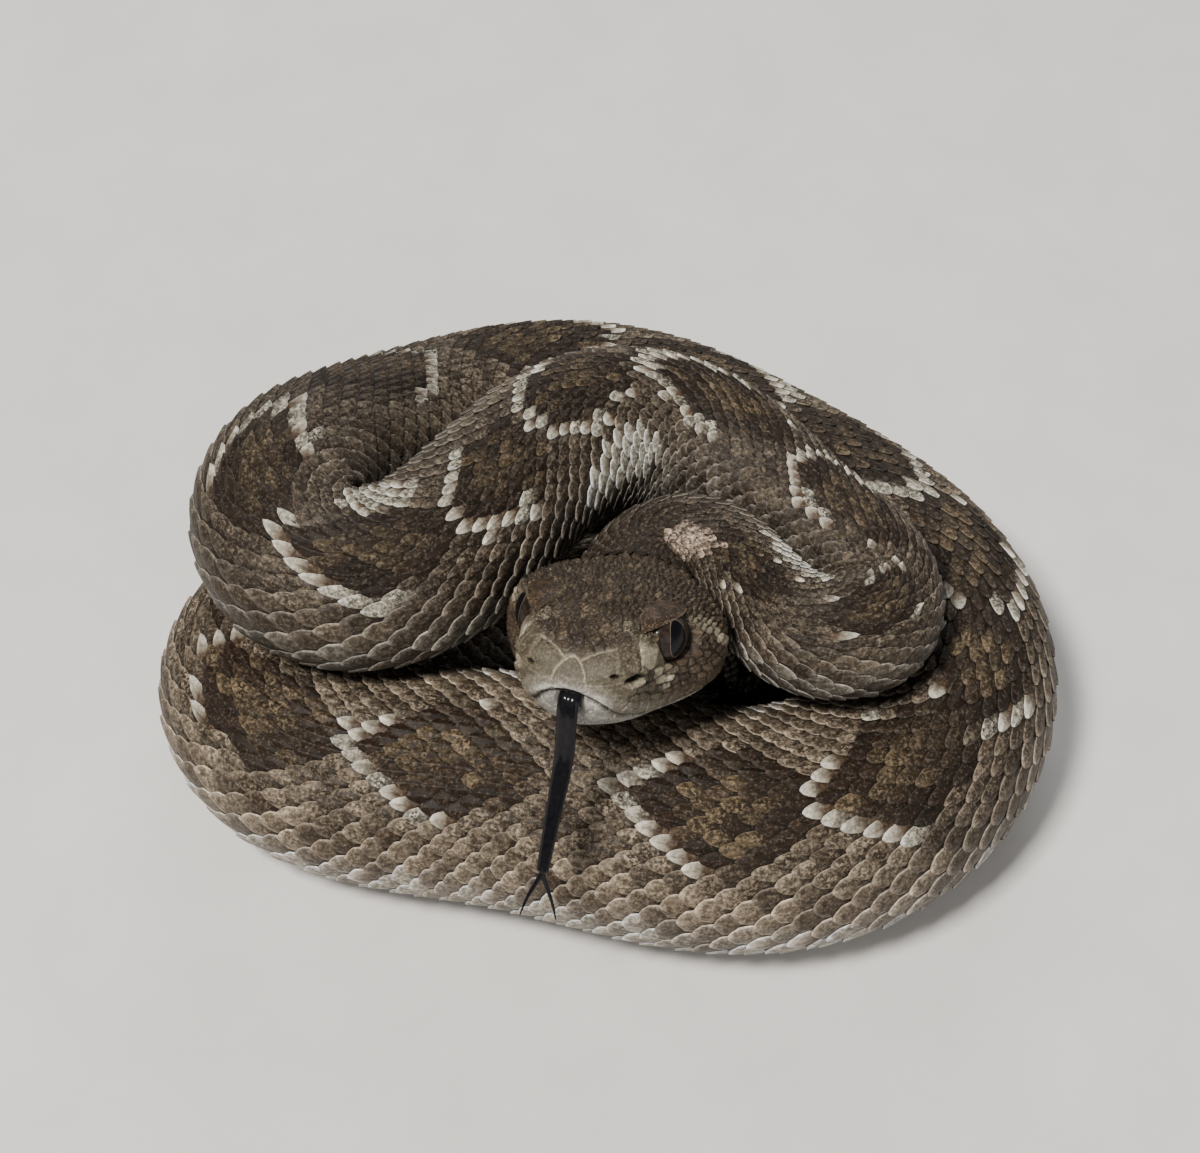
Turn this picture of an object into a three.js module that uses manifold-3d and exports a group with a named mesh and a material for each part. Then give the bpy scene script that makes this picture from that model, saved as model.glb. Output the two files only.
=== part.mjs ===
// A western diamondback rattlesnake at rest in its coil, life size, with its tongue out.
// Millimetres and degrees, +Z up. The belly rests on the plane z = 0.
import * as THREE from "three";
import { mergeVertices } from "three/addons/utils/BufferGeometryUtils.js";
import Module from "manifold-3d";

const wasm = await Module();
wasm.setup();

// Driving dimensions: the body's facets, the gap where one length is parted from the next and
// the gap where lengths lie on each other, and how softly the flesh gives way
const bodySides = 24;
const ringStep = 4.5;
const partingGap = 0.3;
const restingGap = 0.9;
const bendMargin = 1.2;
const fleshSoftness = 10;
const neighbourShare = 1.9;
const contactRange = 12;

// The body's route from the head to the tail, as a chain of stretches. Each has its length,
// its turn to the left seen from above, and the height and girth radius at its end.
// Stretches with one node name are one solid.
const routeStart = { x: 3.39, y: -15.13, heading: 84, height: 41.5, girth: 9.2 };
const headOverlap = 4;
const stretches = [
  { node: "nape", length: 7.5, turn: -14, height: 38.8, girth: 8.7 },
  { node: "nape", length: 9.5, turn: -76, height: 38.8, girth: 8 },
  { node: "neck", length: 9, turn: -50, height: 39.8, girth: 7.5 },
  { node: "neck", length: 9.5, turn: 11, height: 41, girth: 8 },
  { node: "right_loop_front", length: 10, turn: 73, height: 40.5, girth: 8.6 },
  { node: "right_loop_turn", length: 7, turn: 49, height: 38, girth: 8.9 },
  { node: "right_loop_turn", length: 8.5, turn: 45, height: 37, girth: 9.3 },
  { node: "right_loop_back", length: 14, turn: 7, height: 35, girth: 10.1 },
  { node: "top_arc_right", length: 17.5, turn: 22, height: 35, girth: 11 },
  { node: "top_arc_left", length: 17, turn: 58, height: 38, girth: 11.9 },
  { node: "crossing", length: 23.5, turn: 20, height: 40.5, girth: 12.2 },
  { node: "left_loop_front", length: 18.5, turn: -48, height: 39.5, girth: 13 },
  { node: "left_loop_turn", length: 17, turn: -89, height: 38.5, girth: 13.8 },
  { node: "left_loop_back", length: 22, turn: -35, height: 28, girth: 14.6 },
  { node: "descent", length: 25, turn: -25, height: 15.5, girth: 15 },
  { node: "ring_back_left", length: 35.5, turn: -62, height: 14.5, girth: 15 },
  { node: "ring_back_right", length: 35, turn: -16, height: 15, girth: 15.9 },
  { node: "ring_right", length: 30, turn: -59, height: 15.5, girth: 16.6 },
  { node: "ring_front_right", length: 22.5, turn: -48, height: 15.5, girth: 17 },
  { node: "ring_front", length: 34, turn: -42, height: 16, girth: 16.7 },
  { node: "ring_front_left", length: 36.5, turn: -4, height: 14.5, girth: 15.9 },
  { node: "ring_left", length: 22.5, turn: -68, height: 13, girth: 14.7 },
  { node: "inner_turn", length: 21.5, turn: -81, height: 10, girth: 11.6 },
  { node: "inner_coil", length: 36.5, turn: -8, height: 9, girth: 9.6 },
  { node: "inner_bend", length: 24, turn: -71, height: 7.5, girth: 8 },
  { node: "tail_base", length: 18, turn: -104, height: 6, girth: 6.5 },
  { node: "tail", length: 26, turn: -11, height: 4.5, girth: 5 },
];

// The head: the way it faces, and its sections from behind the joint to the snout. Width is
// half the breadth; crown, lip and chin are heights from the head's axis.
const head = { yaw: -21, pitch: 30, roll: 7.5, length: 27.5, sides: 28, stations: 22 };
const headSections = [
  { at: -4, width: 8.4, crown: 8.2, lip: -2.0, chin: -8.2, boxiness: 2.1 },
  { at: -1, width: 10.4, crown: 8.4, lip: -2.2, chin: -8.4, boxiness: 2.2 },
  { at: 2.5, width: 13.8, crown: 8.8, lip: -2.6, chin: -8.7, boxiness: 2.3 },
  { at: 6, width: 15.2, crown: 9.2, lip: -3.4, chin: -8.8, boxiness: 2.3 },
  { at: 10, width: 14.5, crown: 9.5, lip: -4.4, chin: -8.6, boxiness: 2.4 },
  { at: 14, width: 12.2, crown: 9.5, lip: -5.0, chin: -8.2, boxiness: 2.5 },
  { at: 18, width: 10.2, crown: 8.9, lip: -5.0, chin: -7.6, boxiness: 2.7 },
  { at: 21.5, width: 8.9, crown: 7.6, lip: -4.0, chin: -6.8, boxiness: 2.9 },
  { at: 25, width: 7.6, crown: 5.9, lip: -2.0, chin: -5.4, boxiness: 3.0 },
  { at: 27.5, width: 6.4, crown: 4.4, lip: -0.4, chin: -4.2, boxiness: 3.0 },
];
const napeBlend = 5;
const snoutRound = 4.2;
const snoutTaper = 0.8;
const widest = { rear: 0.3, front: 1.2, from: 10, to: 25 };
const mouthCorner = 3.2;
const mouthStep = 1.5;
const eye = { at: 15.1, out: 8.3, up: 5.0, radius: 3.2, socketGap: 0.3 };
const brow = { at: 14.9, out: 8.2, up: 9.0, long: 5.0, wide: 2.5, thick: 1.1, tilt: 16, pitch: 6 };
const heatPit = { at: 19.9, out: 8.3, up: 0.6, radius: 0.95, depth: 1.6 };
const nostril = { at: 25.2, out: 5.9, up: 2.6, radius: 0.6, depth: 1.2 };
const dimpleTurn = 20;

// The tongue hangs from the middle of the mouth and forks near its end. Its places are
// measured from where it leaves the lips.
const tongue = { width: 3.0, thickness: 1.3, rootInside: 3.5, lipAhead: 0.4, up: -0.9 };
const tongueThins = { width: 0.45, thickness: 0.25, tip: 0.6 };
const tongueTipWidth = 1.1;
const tongueSlotGap = 0.5;
const tongueDrop = [
  { out: 3.4, side: -0.6, down: 6.3 },
  { out: 6.9, side: -1.6, down: 11.9 },
  { out: 12.9, side: -3.6, down: 21.4 },
];
const tongueTips = [
  { out: 16.9, side: -1.9, down: 27.4 },
  { out: 16.7, side: -6.6, down: 26.4 },
];

// The rattle: a row of loose horny segments and the button at the end, higher than wide, with
// a waist between segments and a groove along each side.
const rattle = { segments: 6, pitch: 2.7, high: 8.6, wide: 6.4, endShare: 0.72, sides: 16 };
const rattleWaist = 0.74;
const rattleGroove = 0.1;
const rattleCloses = 0.9;
const rattleDip = 0.05;

const palette = {
  back: { color: 0x6b5f52, roughness: 0.72, metalness: 0 },
  head: { color: 0x847660, roughness: 0.7, metalness: 0 },
  jaw: { color: 0xb9b0a0, roughness: 0.65, metalness: 0 },
  eye: { color: 0x1c1510, roughness: 0.12, metalness: 0 },
  tongue: { color: 0x0c0c10, roughness: 0.25, metalness: 0 },
  tail: { color: 0xa8a49a, roughness: 0.7, metalness: 0 },
  rattle: { color: 0x8d7a58, roughness: 0.55, metalness: 0 },
};

const radians = THREE.MathUtils.degToRad;
const model = new THREE.Group();
model.name = "western_diamondback";

function addNode(name, geometry, look) {
  const mesh = new THREE.Mesh(geometry, new THREE.MeshStandardMaterial(palette[look]));
  mesh.name = name;
  model.add(mesh);
}

// A natural cubic spline through the values at the given stations
function spline(stations, values) {
  const count = stations.length;
  const step = stations.slice(1).map((s, i) => s - stations[i]);
  const slope = step.map((h, i) => (values[i + 1] - values[i]) / h);
  const curve = new Array(count).fill(0);
  const upper = new Array(count).fill(0);
  for (let i = 1; i < count - 1; i++) {
    const pivot = 2 * (step[i - 1] + step[i]) - step[i - 1] * upper[i - 1];
    upper[i] = step[i] / pivot;
    curve[i] = (6 * (slope[i] - slope[i - 1]) - step[i - 1] * curve[i - 1]) / pivot;
  }
  for (let i = count - 2; i > 0; i--) curve[i] -= upper[i] * curve[i + 1];
  return (s) => {
    let i = 0;
    while (i < count - 2 && s > stations[i + 1]) i++;
    const h = step[i];
    const a = (stations[i + 1] - s) / h;
    const b = 1 - a;
    const bend = ((a ** 3 - a) * curve[i] + (b ** 3 - b) * curve[i + 1]) * (h * h) / 6;
    return a * values[i] + b * values[i + 1] + bend;
  };
}

// The centreline, sampled finely and read between its samples
const sampleStep = 0.5;
const probe = 0.01;
const joints = [0];
const headings = [radians(routeStart.heading)];
for (const stretch of stretches) {
  joints.push(joints.at(-1) + stretch.length);
  headings.push(headings.at(-1) + radians(stretch.turn));
}
const bodyLength = joints.at(-1);
const headingAt = spline(joints, headings);
const heightAt = spline(joints, [routeStart.height, ...stretches.map((s) => s.height)]);
const girthAt = spline(joints, [routeStart.girth, ...stretches.map((s) => s.girth)]);

function directionAt(s) {
  const rise = (heightAt(s + probe) - heightAt(s - probe)) / (2 * probe);
  const level = Math.sqrt(1 - rise * rise);
  const heading = headingAt(s);
  return new THREE.Vector3(level * Math.cos(heading), level * Math.sin(heading), rise);
}

const samples = [];
const place = new THREE.Vector3(routeStart.x, routeStart.y, 0);
for (let i = 0; i <= Math.round(bodyLength / sampleStep); i++) {
  const s = i * sampleStep;
  samples.push({ s, radius: girthAt(s), centre: place.clone().setZ(heightAt(s)) });
  place.addScaledVector(directionAt(s + sampleStep / 2), sampleStep);
}

function centreAt(s) {
  const index = THREE.MathUtils.clamp(Math.floor(s / sampleStep), 0, samples.length - 2);
  const share = s / sampleStep - index;
  return samples[index].centre.clone().lerp(samples[index + 1].centre, share);
}

// The head's own frame: forward to the snout, left and up, with its origin at the joint
const headOrigin = centreAt(0);
const headFrame = new THREE.Matrix4()
  .makeRotationZ(radians(head.yaw - 90))
  .multiply(new THREE.Matrix4().makeRotationY(radians(-head.pitch)))
  .multiply(new THREE.Matrix4().makeRotationX(radians(head.roll)));
headFrame.setPosition(headOrigin);

const sectionStations = headSections.map((section) => section.at);
const sectionAt = {};
for (const key of ["width", "crown", "lip", "chin", "boxiness"]) {
  sectionAt[key] = spline(sectionStations, headSections.map((section) => section[key]));
}

// What the flesh can lie against: the body's own samples, and both cheeks of the head
const cheekStep = 2;
const contacts = [...samples];
for (let at = 0; at <= head.length - snoutRound; at += cheekStep) {
  const tall = (sectionAt.crown(at) - sectionAt.chin(at)) / 2;
  for (const side of [1, -1]) {
    const centre = new THREE.Vector3(at, side * Math.max(0, sectionAt.width(at) - tall), 0);
    contacts.push({ s: -at, radius: tall, centre: centre.applyMatrix4(headFrame) });
  }
}

// How far the flesh reaches from the centreline at s in the direction out. Lengths of the
// body that lie against each other flatten where they meet, a tight bend flattens on its
// inner side, and the belly flattens on the floor.
function fleshReach(s, centre, out, bend) {
  const own = girthAt(s);
  let limit = Infinity;
  for (const other of contacts) {
    if (Math.abs(other.s - s) < neighbourShare * Math.max(own, other.radius)) continue;
    const apart = centre.clone().sub(other.centre);
    const distance = apart.length();
    if (distance > own + other.radius + contactRange) continue;
    const offset = other.radius - own + restingGap;
    const facing = offset - apart.dot(out);
    if (facing <= 0) continue;
    limit = Math.min(limit, (distance * distance - offset * offset) / (2 * facing));
  }
  const inward = bend.dot(out);
  if (inward > 0) limit = Math.min(limit, (1 - bendMargin * bend.length()) / inward);
  const soft = own / (1 + (own / limit) ** fleshSoftness) ** (1 / fleshSoftness);
  return out.z < 0 ? Math.min(soft, centre.z / -out.z) : soft;
}

// One ring of the skin at s
function bodyRing(s) {
  const centre = centreAt(s);
  const along = directionAt(s);
  const side = new THREE.Vector3(-along.y, along.x, 0).normalize();
  const up = along.clone().cross(side);
  const ahead = directionAt(s + sampleStep);
  const bend = ahead.sub(directionAt(s - sampleStep)).divideScalar(2 * sampleStep);
  const ring = [];
  for (let k = 0; k < bodySides; k++) {
    const angle = (2 * Math.PI * k) / bodySides;
    const out = side.clone().multiplyScalar(Math.cos(angle)).addScaledVector(up, Math.sin(angle));
    ring.push(centre.clone().addScaledVector(out, fleshReach(s, centre, out, bend)));
  }
  return ring;
}

// A closed surface over rings of points, with a flat fan at each end
function loft(rings) {
  const sides = rings[0].length;
  const points = rings.flat();
  const faces = [];
  for (let r = 0; r + 1 < rings.length; r++) {
    for (let k = 0; k < sides; k++) {
      const a = r * sides + k;
      const b = r * sides + ((k + 1) % sides);
      faces.push(a, b, a + sides, b, b + sides, a + sides);
    }
  }
  const lastRing = points.length - sides;
  for (const first of [0, lastRing]) {
    const ring = points.slice(first, first + sides);
    const middle = ring.reduce((sum, p) => sum.add(p), new THREE.Vector3()).divideScalar(sides);
    const centre = points.push(middle) - 1;
    for (let k = 0; k < sides; k++) {
      const a = first + k;
      const b = first + ((k + 1) % sides);
      faces.push(...(first === 0 ? [b, a, centre] : [a, b, centre]));
    }
  }
  const geometry = new THREE.BufferGeometry().setFromPoints(points);
  geometry.setIndex(faces);
  return geometry;
}

// Solids for joining and cutting, and back to geometry
function solidOf(geometry) {
  const bare = geometry.clone();
  bare.deleteAttribute("normal");
  bare.deleteAttribute("uv");
  const merged = mergeVertices(bare, 1e-4);
  return new wasm.Manifold(
    new wasm.Mesh({
      numProp: 3,
      vertProperties: new Float32Array(merged.attributes.position.array),
      triVerts: new Uint32Array(merged.index.array),
    }),
  );
}

function geometryOf(solid) {
  const mesh = solid.getMesh();
  const geometry = new THREE.BufferGeometry();
  geometry.setAttribute("position", new THREE.BufferAttribute(mesh.vertProperties, 3));
  geometry.setIndex(new THREE.BufferAttribute(mesh.triVerts, 1));
  return geometry;
}

// The body, node by node: a node runs over its stretches, less half the parting gap at each end
function addBody() {
  const spans = new Map();
  stretches.forEach((stretch, i) => {
    const start = spans.get(stretch.node)?.start ?? joints[i];
    spans.set(stretch.node, { start, end: joints[i + 1] });
  });
  for (const [node, span] of spans) {
    const start = Math.max(span.start, headOverlap) + partingGap / 2;
    const end = span.end - partingGap / 2;
    const steps = Math.max(2, Math.ceil((end - start) / ringStep));
    const rings = [];
    for (let i = 0; i <= steps; i++) rings.push(bodyRing(start + ((end - start) * i) / steps));
    addNode(node, loft(rings), node.startsWith("tail") ? "tail" : "back");
  }
}

// The head's centre and axes at a station: its own frame ahead of the joint, easing into the
// body's behind it, so that the head's rear face lies against the nape
function headAxes(at) {
  const [forward, left, up] = [new THREE.Vector3(), new THREE.Vector3(), new THREE.Vector3()];
  headFrame.extractBasis(forward, left, up);
  const ease = THREE.MathUtils.smoothstep(at, -headOverlap, napeBlend);
  const behind = Math.max(0, -at);
  const along = directionAt(behind).negate();
  const bodyLeft = new THREE.Vector3(-along.y, along.x, 0).normalize();
  const ahead = along.lerp(forward, ease).normalize();
  const across = bodyLeft.lerp(left, ease);
  const top = ahead.clone().cross(across).normalize();
  const centre = at < 0 ? centreAt(behind) : headOrigin.clone().addScaledVector(forward, at);
  return { centre, left: top.clone().cross(ahead), up: top };
}

function headRing(at) {
  const { centre, left, up } = headAxes(at);
  const round = Math.max(0, (at - head.length + snoutRound) / snoutRound);
  const shrink = Math.sqrt(Math.max(0, 1 - round * round));
  const forward = THREE.MathUtils.smoothstep(at, widest.from, widest.to);
  const middle = THREE.MathUtils.lerp(widest.rear, widest.front, forward);
  const power = 2 / sectionAt.boxiness(at);
  const ring = [];
  for (let k = 0; k < head.sides; k++) {
    const angle = (2 * Math.PI * (k + 0.5)) / head.sides;
    const [c, s] = [Math.cos(angle), Math.sin(angle)];
    const reach = s > 0 ? sectionAt.crown(at) - middle : middle - sectionAt.chin(at);
    const half = sectionAt.width(at) * shrink ** snoutTaper;
    const out = half * Math.sign(c) * Math.abs(c) ** power;
    const rise = middle + shrink * reach * Math.sign(s) * Math.abs(s) ** power;
    ring.push(centre.clone().addScaledVector(left, out).addScaledVector(up, rise));
  }
  return ring;
}

function inHead(geometry) {
  return geometry.applyMatrix4(headFrame);
}

// A block under the line of the mouth, raised by lift
function mouthBlock(lift) {
  const reach = 2 * head.length;
  const shape = new THREE.Shape();
  shape.moveTo(mouthCorner - lift, -reach);
  for (let at = mouthCorner; at < head.length; at += mouthStep) {
    shape.lineTo(at === mouthCorner ? at - lift : at, sectionAt.lip(at) + lift);
  }
  shape.lineTo(reach, sectionAt.lip(head.length) + lift);
  shape.lineTo(reach, -reach);
  const block = new THREE.ExtrudeGeometry(shape, { depth: reach, bevelEnabled: false });
  return solidOf(inHead(block.rotateX(Math.PI / 2).translate(0, reach / 2, 0)));
}

function ballAt(at, out, up, radius, detail = 2) {
  return new THREE.IcosahedronGeometry(radius, detail).translate(at, out, up);
}

// A dimple that points inward from the cheek
function dimple(spot, side) {
  const cone = new THREE.ConeGeometry(spot.radius, 2 * spot.depth, 8);
  const turned = cone.rotateX((-side * Math.PI) / 2).rotateZ(side * radians(dimpleTurn));
  return solidOf(inHead(turned.translate(spot.at, side * spot.out, spot.up)));
}

function browPlate(side) {
  const plate = new THREE.IcosahedronGeometry(1, 2).scale(brow.long, brow.wide, brow.thick);
  plate.rotateX(-side * radians(brow.tilt)).rotateY(radians(brow.pitch));
  return solidOf(inHead(plate.translate(brow.at, side * brow.out, brow.up)));
}

// The tongue: a flat ribbon from inside the mouth, with two tapering tips
function tongueRoute() {
  const root = new THREE.Vector3(head.length - tongue.rootInside, 0, tongue.up);
  const lip = new THREE.Vector3(head.length + tongue.lipAhead, 0, tongue.up);
  const start = lip.clone().applyMatrix4(headFrame);
  const drop = tongueDrop.map((p) => offsetFrom(start, p));
  return { start, points: [root.applyMatrix4(headFrame), start, ...drop] };
}

function offsetFrom(start, { out, side, down }) {
  return new THREE.Vector3(start.x + side, start.y - out, start.z - down);
}

// A tube of oval section along points, width and thickness given by the share of its length
function ribbon(points, widthAt, thicknessAt, steps, sides = 8) {
  const curve = new THREE.CatmullRomCurve3(points, false, "centripetal");
  const across = new THREE.Vector3(1, 0, 0).transformDirection(
    new THREE.Matrix4().makeRotationZ(radians(head.yaw)),
  );
  const rings = [];
  for (let i = 0; i <= steps; i++) {
    const share = i / steps;
    const along = curve.getTangentAt(share);
    const up = along.clone().cross(across).normalize();
    const side = up.clone().cross(along);
    const centre = curve.getPointAt(share);
    const ring = [];
    for (let k = 0; k < sides; k++) {
      const angle = (2 * Math.PI * k) / sides;
      const out = (widthAt(share) / 2) * Math.cos(angle);
      const rise = (thicknessAt(share) / 2) * Math.sin(angle);
      ring.push(centre.clone().addScaledVector(side, out).addScaledVector(up, rise));
    }
    rings.push(ring);
  }
  return loft(rings);
}

function addTongue() {
  const { start, points } = tongueRoute();
  const fork = points.at(-1);
  const narrow = (share) => tongue.width * (1 - tongueThins.width * share ** 2);
  const thin = (share) => tongue.thickness * (1 - tongueThins.thickness * share);
  let solid = solidOf(ribbon(points, narrow, thin, 18));
  for (const tip of tongueTips) {
    const end = offsetFrom(start, tip);
    const back = points.at(-2).clone().lerp(fork, 0.75);
    const bow = fork.clone().lerp(end, 0.5).addScaledVector(end.clone().sub(fork).setY(0), 0.12);
    const taper = (share) => tongueTipWidth * (1 - tongueThins.tip * share);
    solid = solid.add(solidOf(ribbon([back, fork, bow, end], taper, taper, 8, 6)));
  }
  addNode("tongue", geometryOf(solid), "tongue");
}

function tongueSlot() {
  const { points } = tongueRoute();
  const wide = () => tongue.width + 2 * tongueSlotGap;
  const tall = () => tongue.thickness + 2 * tongueSlotGap;
  const inward = points[0].clone().sub(points[1]).normalize();
  const root = points[0].clone().addScaledVector(inward, partingGap);
  return solidOf(ribbon([root, ...points.slice(1, 3)], wide, tall, 8));
}

// The head's rings stand closer together towards the snout
const closerAtSnout = 0.35;

function addHead() {
  const rings = [];
  const first = -headOverlap + partingGap / 2;
  const last = head.length - 0.05;
  for (let i = 0; i <= head.stations; i++) {
    const share = i / head.stations;
    const eased = share + closerAtSnout * Math.sin(Math.PI * share) * share * (1 - share);
    rings.push(headRing(THREE.MathUtils.lerp(first, last, eased)));
  }
  let whole = solidOf(loft(rings));
  for (const side of [1, -1]) {
    whole = whole.add(browPlate(side));
    const socket = ballAt(eye.at, side * eye.out, eye.up, eye.radius + eye.socketGap);
    whole = whole.subtract(solidOf(inHead(socket)));
    whole = whole.subtract(dimple(heatPit, side)).subtract(dimple(nostril, side));
  }
  whole = whole.subtract(tongueSlot());
  addNode("head", geometryOf(largest(whole.subtract(mouthBlock(partingGap / 2)))), "head");
  addNode("lower_jaw", geometryOf(largest(whole.intersect(mouthBlock(-partingGap / 2)))), "jaw");
  for (const [name, side] of [["eye_left", 1], ["eye_right", -1]]) {
    addNode(name, inHead(ballAt(eye.at, side * eye.out, eye.up, eye.radius)), "eye");
  }
}

function largest(solid) {
  const bodies = solid.decompose();
  return bodies.reduce((best, body) => (body.volume() > best.volume() ? body : best));
}

// The rattle lies on from the tail, each segment a bulge with a waist behind it
function addRattle() {
  const along = directionAt(bodyLength - probe).setZ(-rattleDip).normalize();
  const side = new THREE.Vector3(-along.y, along.x, 0).normalize();
  const up = along.clone().cross(side);
  const start = centreAt(bodyLength).addScaledVector(along, partingGap / 2);
  const stepsPerSegment = 5;
  const steps = rattle.segments * stepsPerSegment;
  const rings = [];
  for (let i = 0; i <= steps; i++) {
    const share = i / steps;
    const phase = (i % stepsPerSegment) / stepsPerSegment;
    const bulge = rattleWaist + (1 - rattleWaist) * Math.sin(Math.PI * phase) ** 0.6;
    const closing = Math.max(0, (share - rattleCloses) / (1 - rattleCloses));
    const close = Math.sqrt(1.02 - closing ** 2);
    const size = bulge * THREE.MathUtils.lerp(1, rattle.endShare, share) * close;
    const centre = start.clone().addScaledVector(along, share * rattle.segments * rattle.pitch);
    const ring = [];
    for (let k = 0; k < rattle.sides; k++) {
      const angle = (2 * Math.PI * k) / rattle.sides;
      const groove = 1 - rattleGroove * Math.cos(angle) ** 8;
      const out = (rattle.wide / 2) * size * groove * Math.cos(angle);
      const rise = (rattle.high / 2) * size * groove * Math.sin(angle);
      ring.push(centre.clone().addScaledVector(side, out).addScaledVector(up, rise));
    }
    rings.push(ring);
  }
  addNode("rattle", loft(rings), "rattle");
}

addBody();
addHead();
addTongue();
addRattle();

export default model;
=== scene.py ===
# A western diamondback rattlesnake, life size, at rest in its coil with its tongue out.
import math

import bpy
import numpy as np
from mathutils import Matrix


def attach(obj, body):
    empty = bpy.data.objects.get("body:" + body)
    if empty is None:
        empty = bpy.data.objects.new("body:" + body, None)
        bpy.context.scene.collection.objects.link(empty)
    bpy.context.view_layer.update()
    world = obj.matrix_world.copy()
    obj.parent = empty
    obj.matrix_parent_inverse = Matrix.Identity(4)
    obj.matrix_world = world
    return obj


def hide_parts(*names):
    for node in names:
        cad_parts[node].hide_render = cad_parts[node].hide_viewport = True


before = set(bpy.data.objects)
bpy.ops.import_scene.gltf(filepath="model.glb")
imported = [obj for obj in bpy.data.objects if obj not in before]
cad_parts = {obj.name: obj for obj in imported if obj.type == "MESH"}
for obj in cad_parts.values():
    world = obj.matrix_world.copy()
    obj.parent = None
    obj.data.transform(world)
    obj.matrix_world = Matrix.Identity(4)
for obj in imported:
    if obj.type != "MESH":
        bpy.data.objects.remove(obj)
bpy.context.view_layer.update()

mm = 0.001


# A table of settings: one dictionary to a row, with the columns' names as its keys
def namedRows(columns, *rows):
    return [dict(zip(columns, row)) for row in rows]


# Where the camera stands: millimetres from a point on the floor, looking down by the slope.
# The focal length is in pixels of the photograph's frame.
view = {
    "aim": (-0.91, 19.87, 0.0),
    "distance": 430,
    "slope": 55,
    "focalPixels": 2783,
    "framePixels": 1200,
    "sensor": 36,
}

# The body's route from head to tail, as in the part: millimetres and degrees. Each stretch has
# its length, its turn to the left seen from above, and the height, girth and roll at its end.
# A positive roll leans the back to the snake's left.
routeStart = {"x": 3.39, "y": -15.13, "heading": 84, "height": 41.5, "girth": 9.2, "roll": 3}
stretches = namedRows(
    ("length", "turn", "height", "girth", "roll"),
    # The nape
    (7.5, -14, 38.8, 8.7, 6),
    (9.5, -76, 38.8, 8, 10),
    # The neck
    (9, -50, 39.8, 7.5, 10),
    (9.5, 11, 41, 8, 10),
    # The right loop
    (10, 73, 40.5, 8.6, 14),
    (7, 49, 38, 8.9, 16),
    (8.5, 45, 37, 9.3, 18),
    (14, 7, 35, 10.1, 18),
    # The top arc
    (17.5, 22, 35, 11, 15),
    (17, 58, 38, 11.9, 10),
    # The crossing
    (23.5, 20, 40.5, 12.2, -14),
    # The left loop
    (18.5, -48, 39.5, 13, -18),
    (17, -89, 38.5, 13.8, -16),
    (22, -35, 28, 14.6, -12),
    # The descent to the ring
    (25, -25, 15.5, 15, -20),
    # The ring
    (35.5, -62, 14.5, 15, -22),
    (35, -16, 15, 15.9, -21),
    (30, -59, 15.5, 16.6, -20),
    (22.5, -48, 15.5, 17, -20),
    (34, -42, 16, 16.7, -18),
    (36.5, -4, 14.5, 15.9, -19),
    (22.5, -68, 13, 14.7, -20),
    # The inner coil
    (21.5, -81, 10, 11.6, -15),
    (36.5, -8, 9, 9.6, -5),
    (24, -71, 7.5, 8, 0),
    # The tail
    (18, -104, 6, 6.5, 0),
    (26, -11, 4.5, 5, 0),
)
flesh = {
    "restingGap": 0.5,  # between lengths of the body that lie on each other
    "neighbourShare": 1.9,
    "contactRange": 12,
    "bendMargin": 1.2,
    "softness": 10,
    "sampleStep": 0.5,
}


def naturalSpline(stations, values):
    stations = np.asarray(stations, float)
    values = np.asarray(values, float)
    step = np.diff(stations)
    slope = np.diff(values) / step
    count = len(stations)
    system = np.eye(count)
    target = np.zeros(count)
    for i in range(1, count - 1):
        system[i, i - 1:i + 2] = step[i - 1], 2 * (step[i - 1] + step[i]), step[i]
        target[i] = 6 * (slope[i] - slope[i - 1])
    curve = np.linalg.solve(system, target)

    def at(s):
        s = np.asarray(s, float)
        i = np.clip(np.searchsorted(stations, s) - 1, 0, count - 2)
        a = (stations[i + 1] - s) / step[i]
        b = 1 - a
        bend = ((a**3 - a) * curve[i] + (b**3 - b) * curve[i + 1]) * step[i] ** 2 / 6
        return a * values[i] + b * values[i + 1] + bend

    return at


def smoothStep(x, low, high):
    t = np.clip((np.asarray(x, float) - low) / (high - low), 0, 1)
    return t * t * (3 - 2 * t)


def unit(v):
    return v / np.maximum(np.linalg.norm(v, axis=-1, keepdims=True), 1e-9)


joints = np.concatenate([[0], np.cumsum([row["length"] for row in stretches])])
bodyLength = joints[-1]
turns = [routeStart["heading"]] + [row["turn"] for row in stretches]
headingAt = naturalSpline(joints, np.radians(np.cumsum(turns)))
heightAt = naturalSpline(joints, [routeStart["height"]] + [row["height"] for row in stretches])
girthAt = naturalSpline(joints, [routeStart["girth"]] + [row["girth"] for row in stretches])


def directionAt(s):
    probe = 0.01
    rise = (heightAt(s + probe) - heightAt(s - probe)) / (2 * probe)
    level = np.sqrt(1 - rise**2)
    heading = headingAt(s)
    return np.stack([level * np.cos(heading), level * np.sin(heading), rise], -1)


sampleS = np.arange(round(bodyLength / flesh["sampleStep"]) + 1) * flesh["sampleStep"]
walk = directionAt(sampleS + flesh["sampleStep"] / 2) * flesh["sampleStep"]
samplePlace = np.cumsum(np.vstack([[routeStart["x"], routeStart["y"], 0], walk[:-1]]), axis=0)
samplePlace[:, 2] = heightAt(sampleS)


def centreAt(s):
    return np.stack([np.interp(s, sampleS, samplePlace[:, k]) for k in range(3)], -1)


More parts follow.
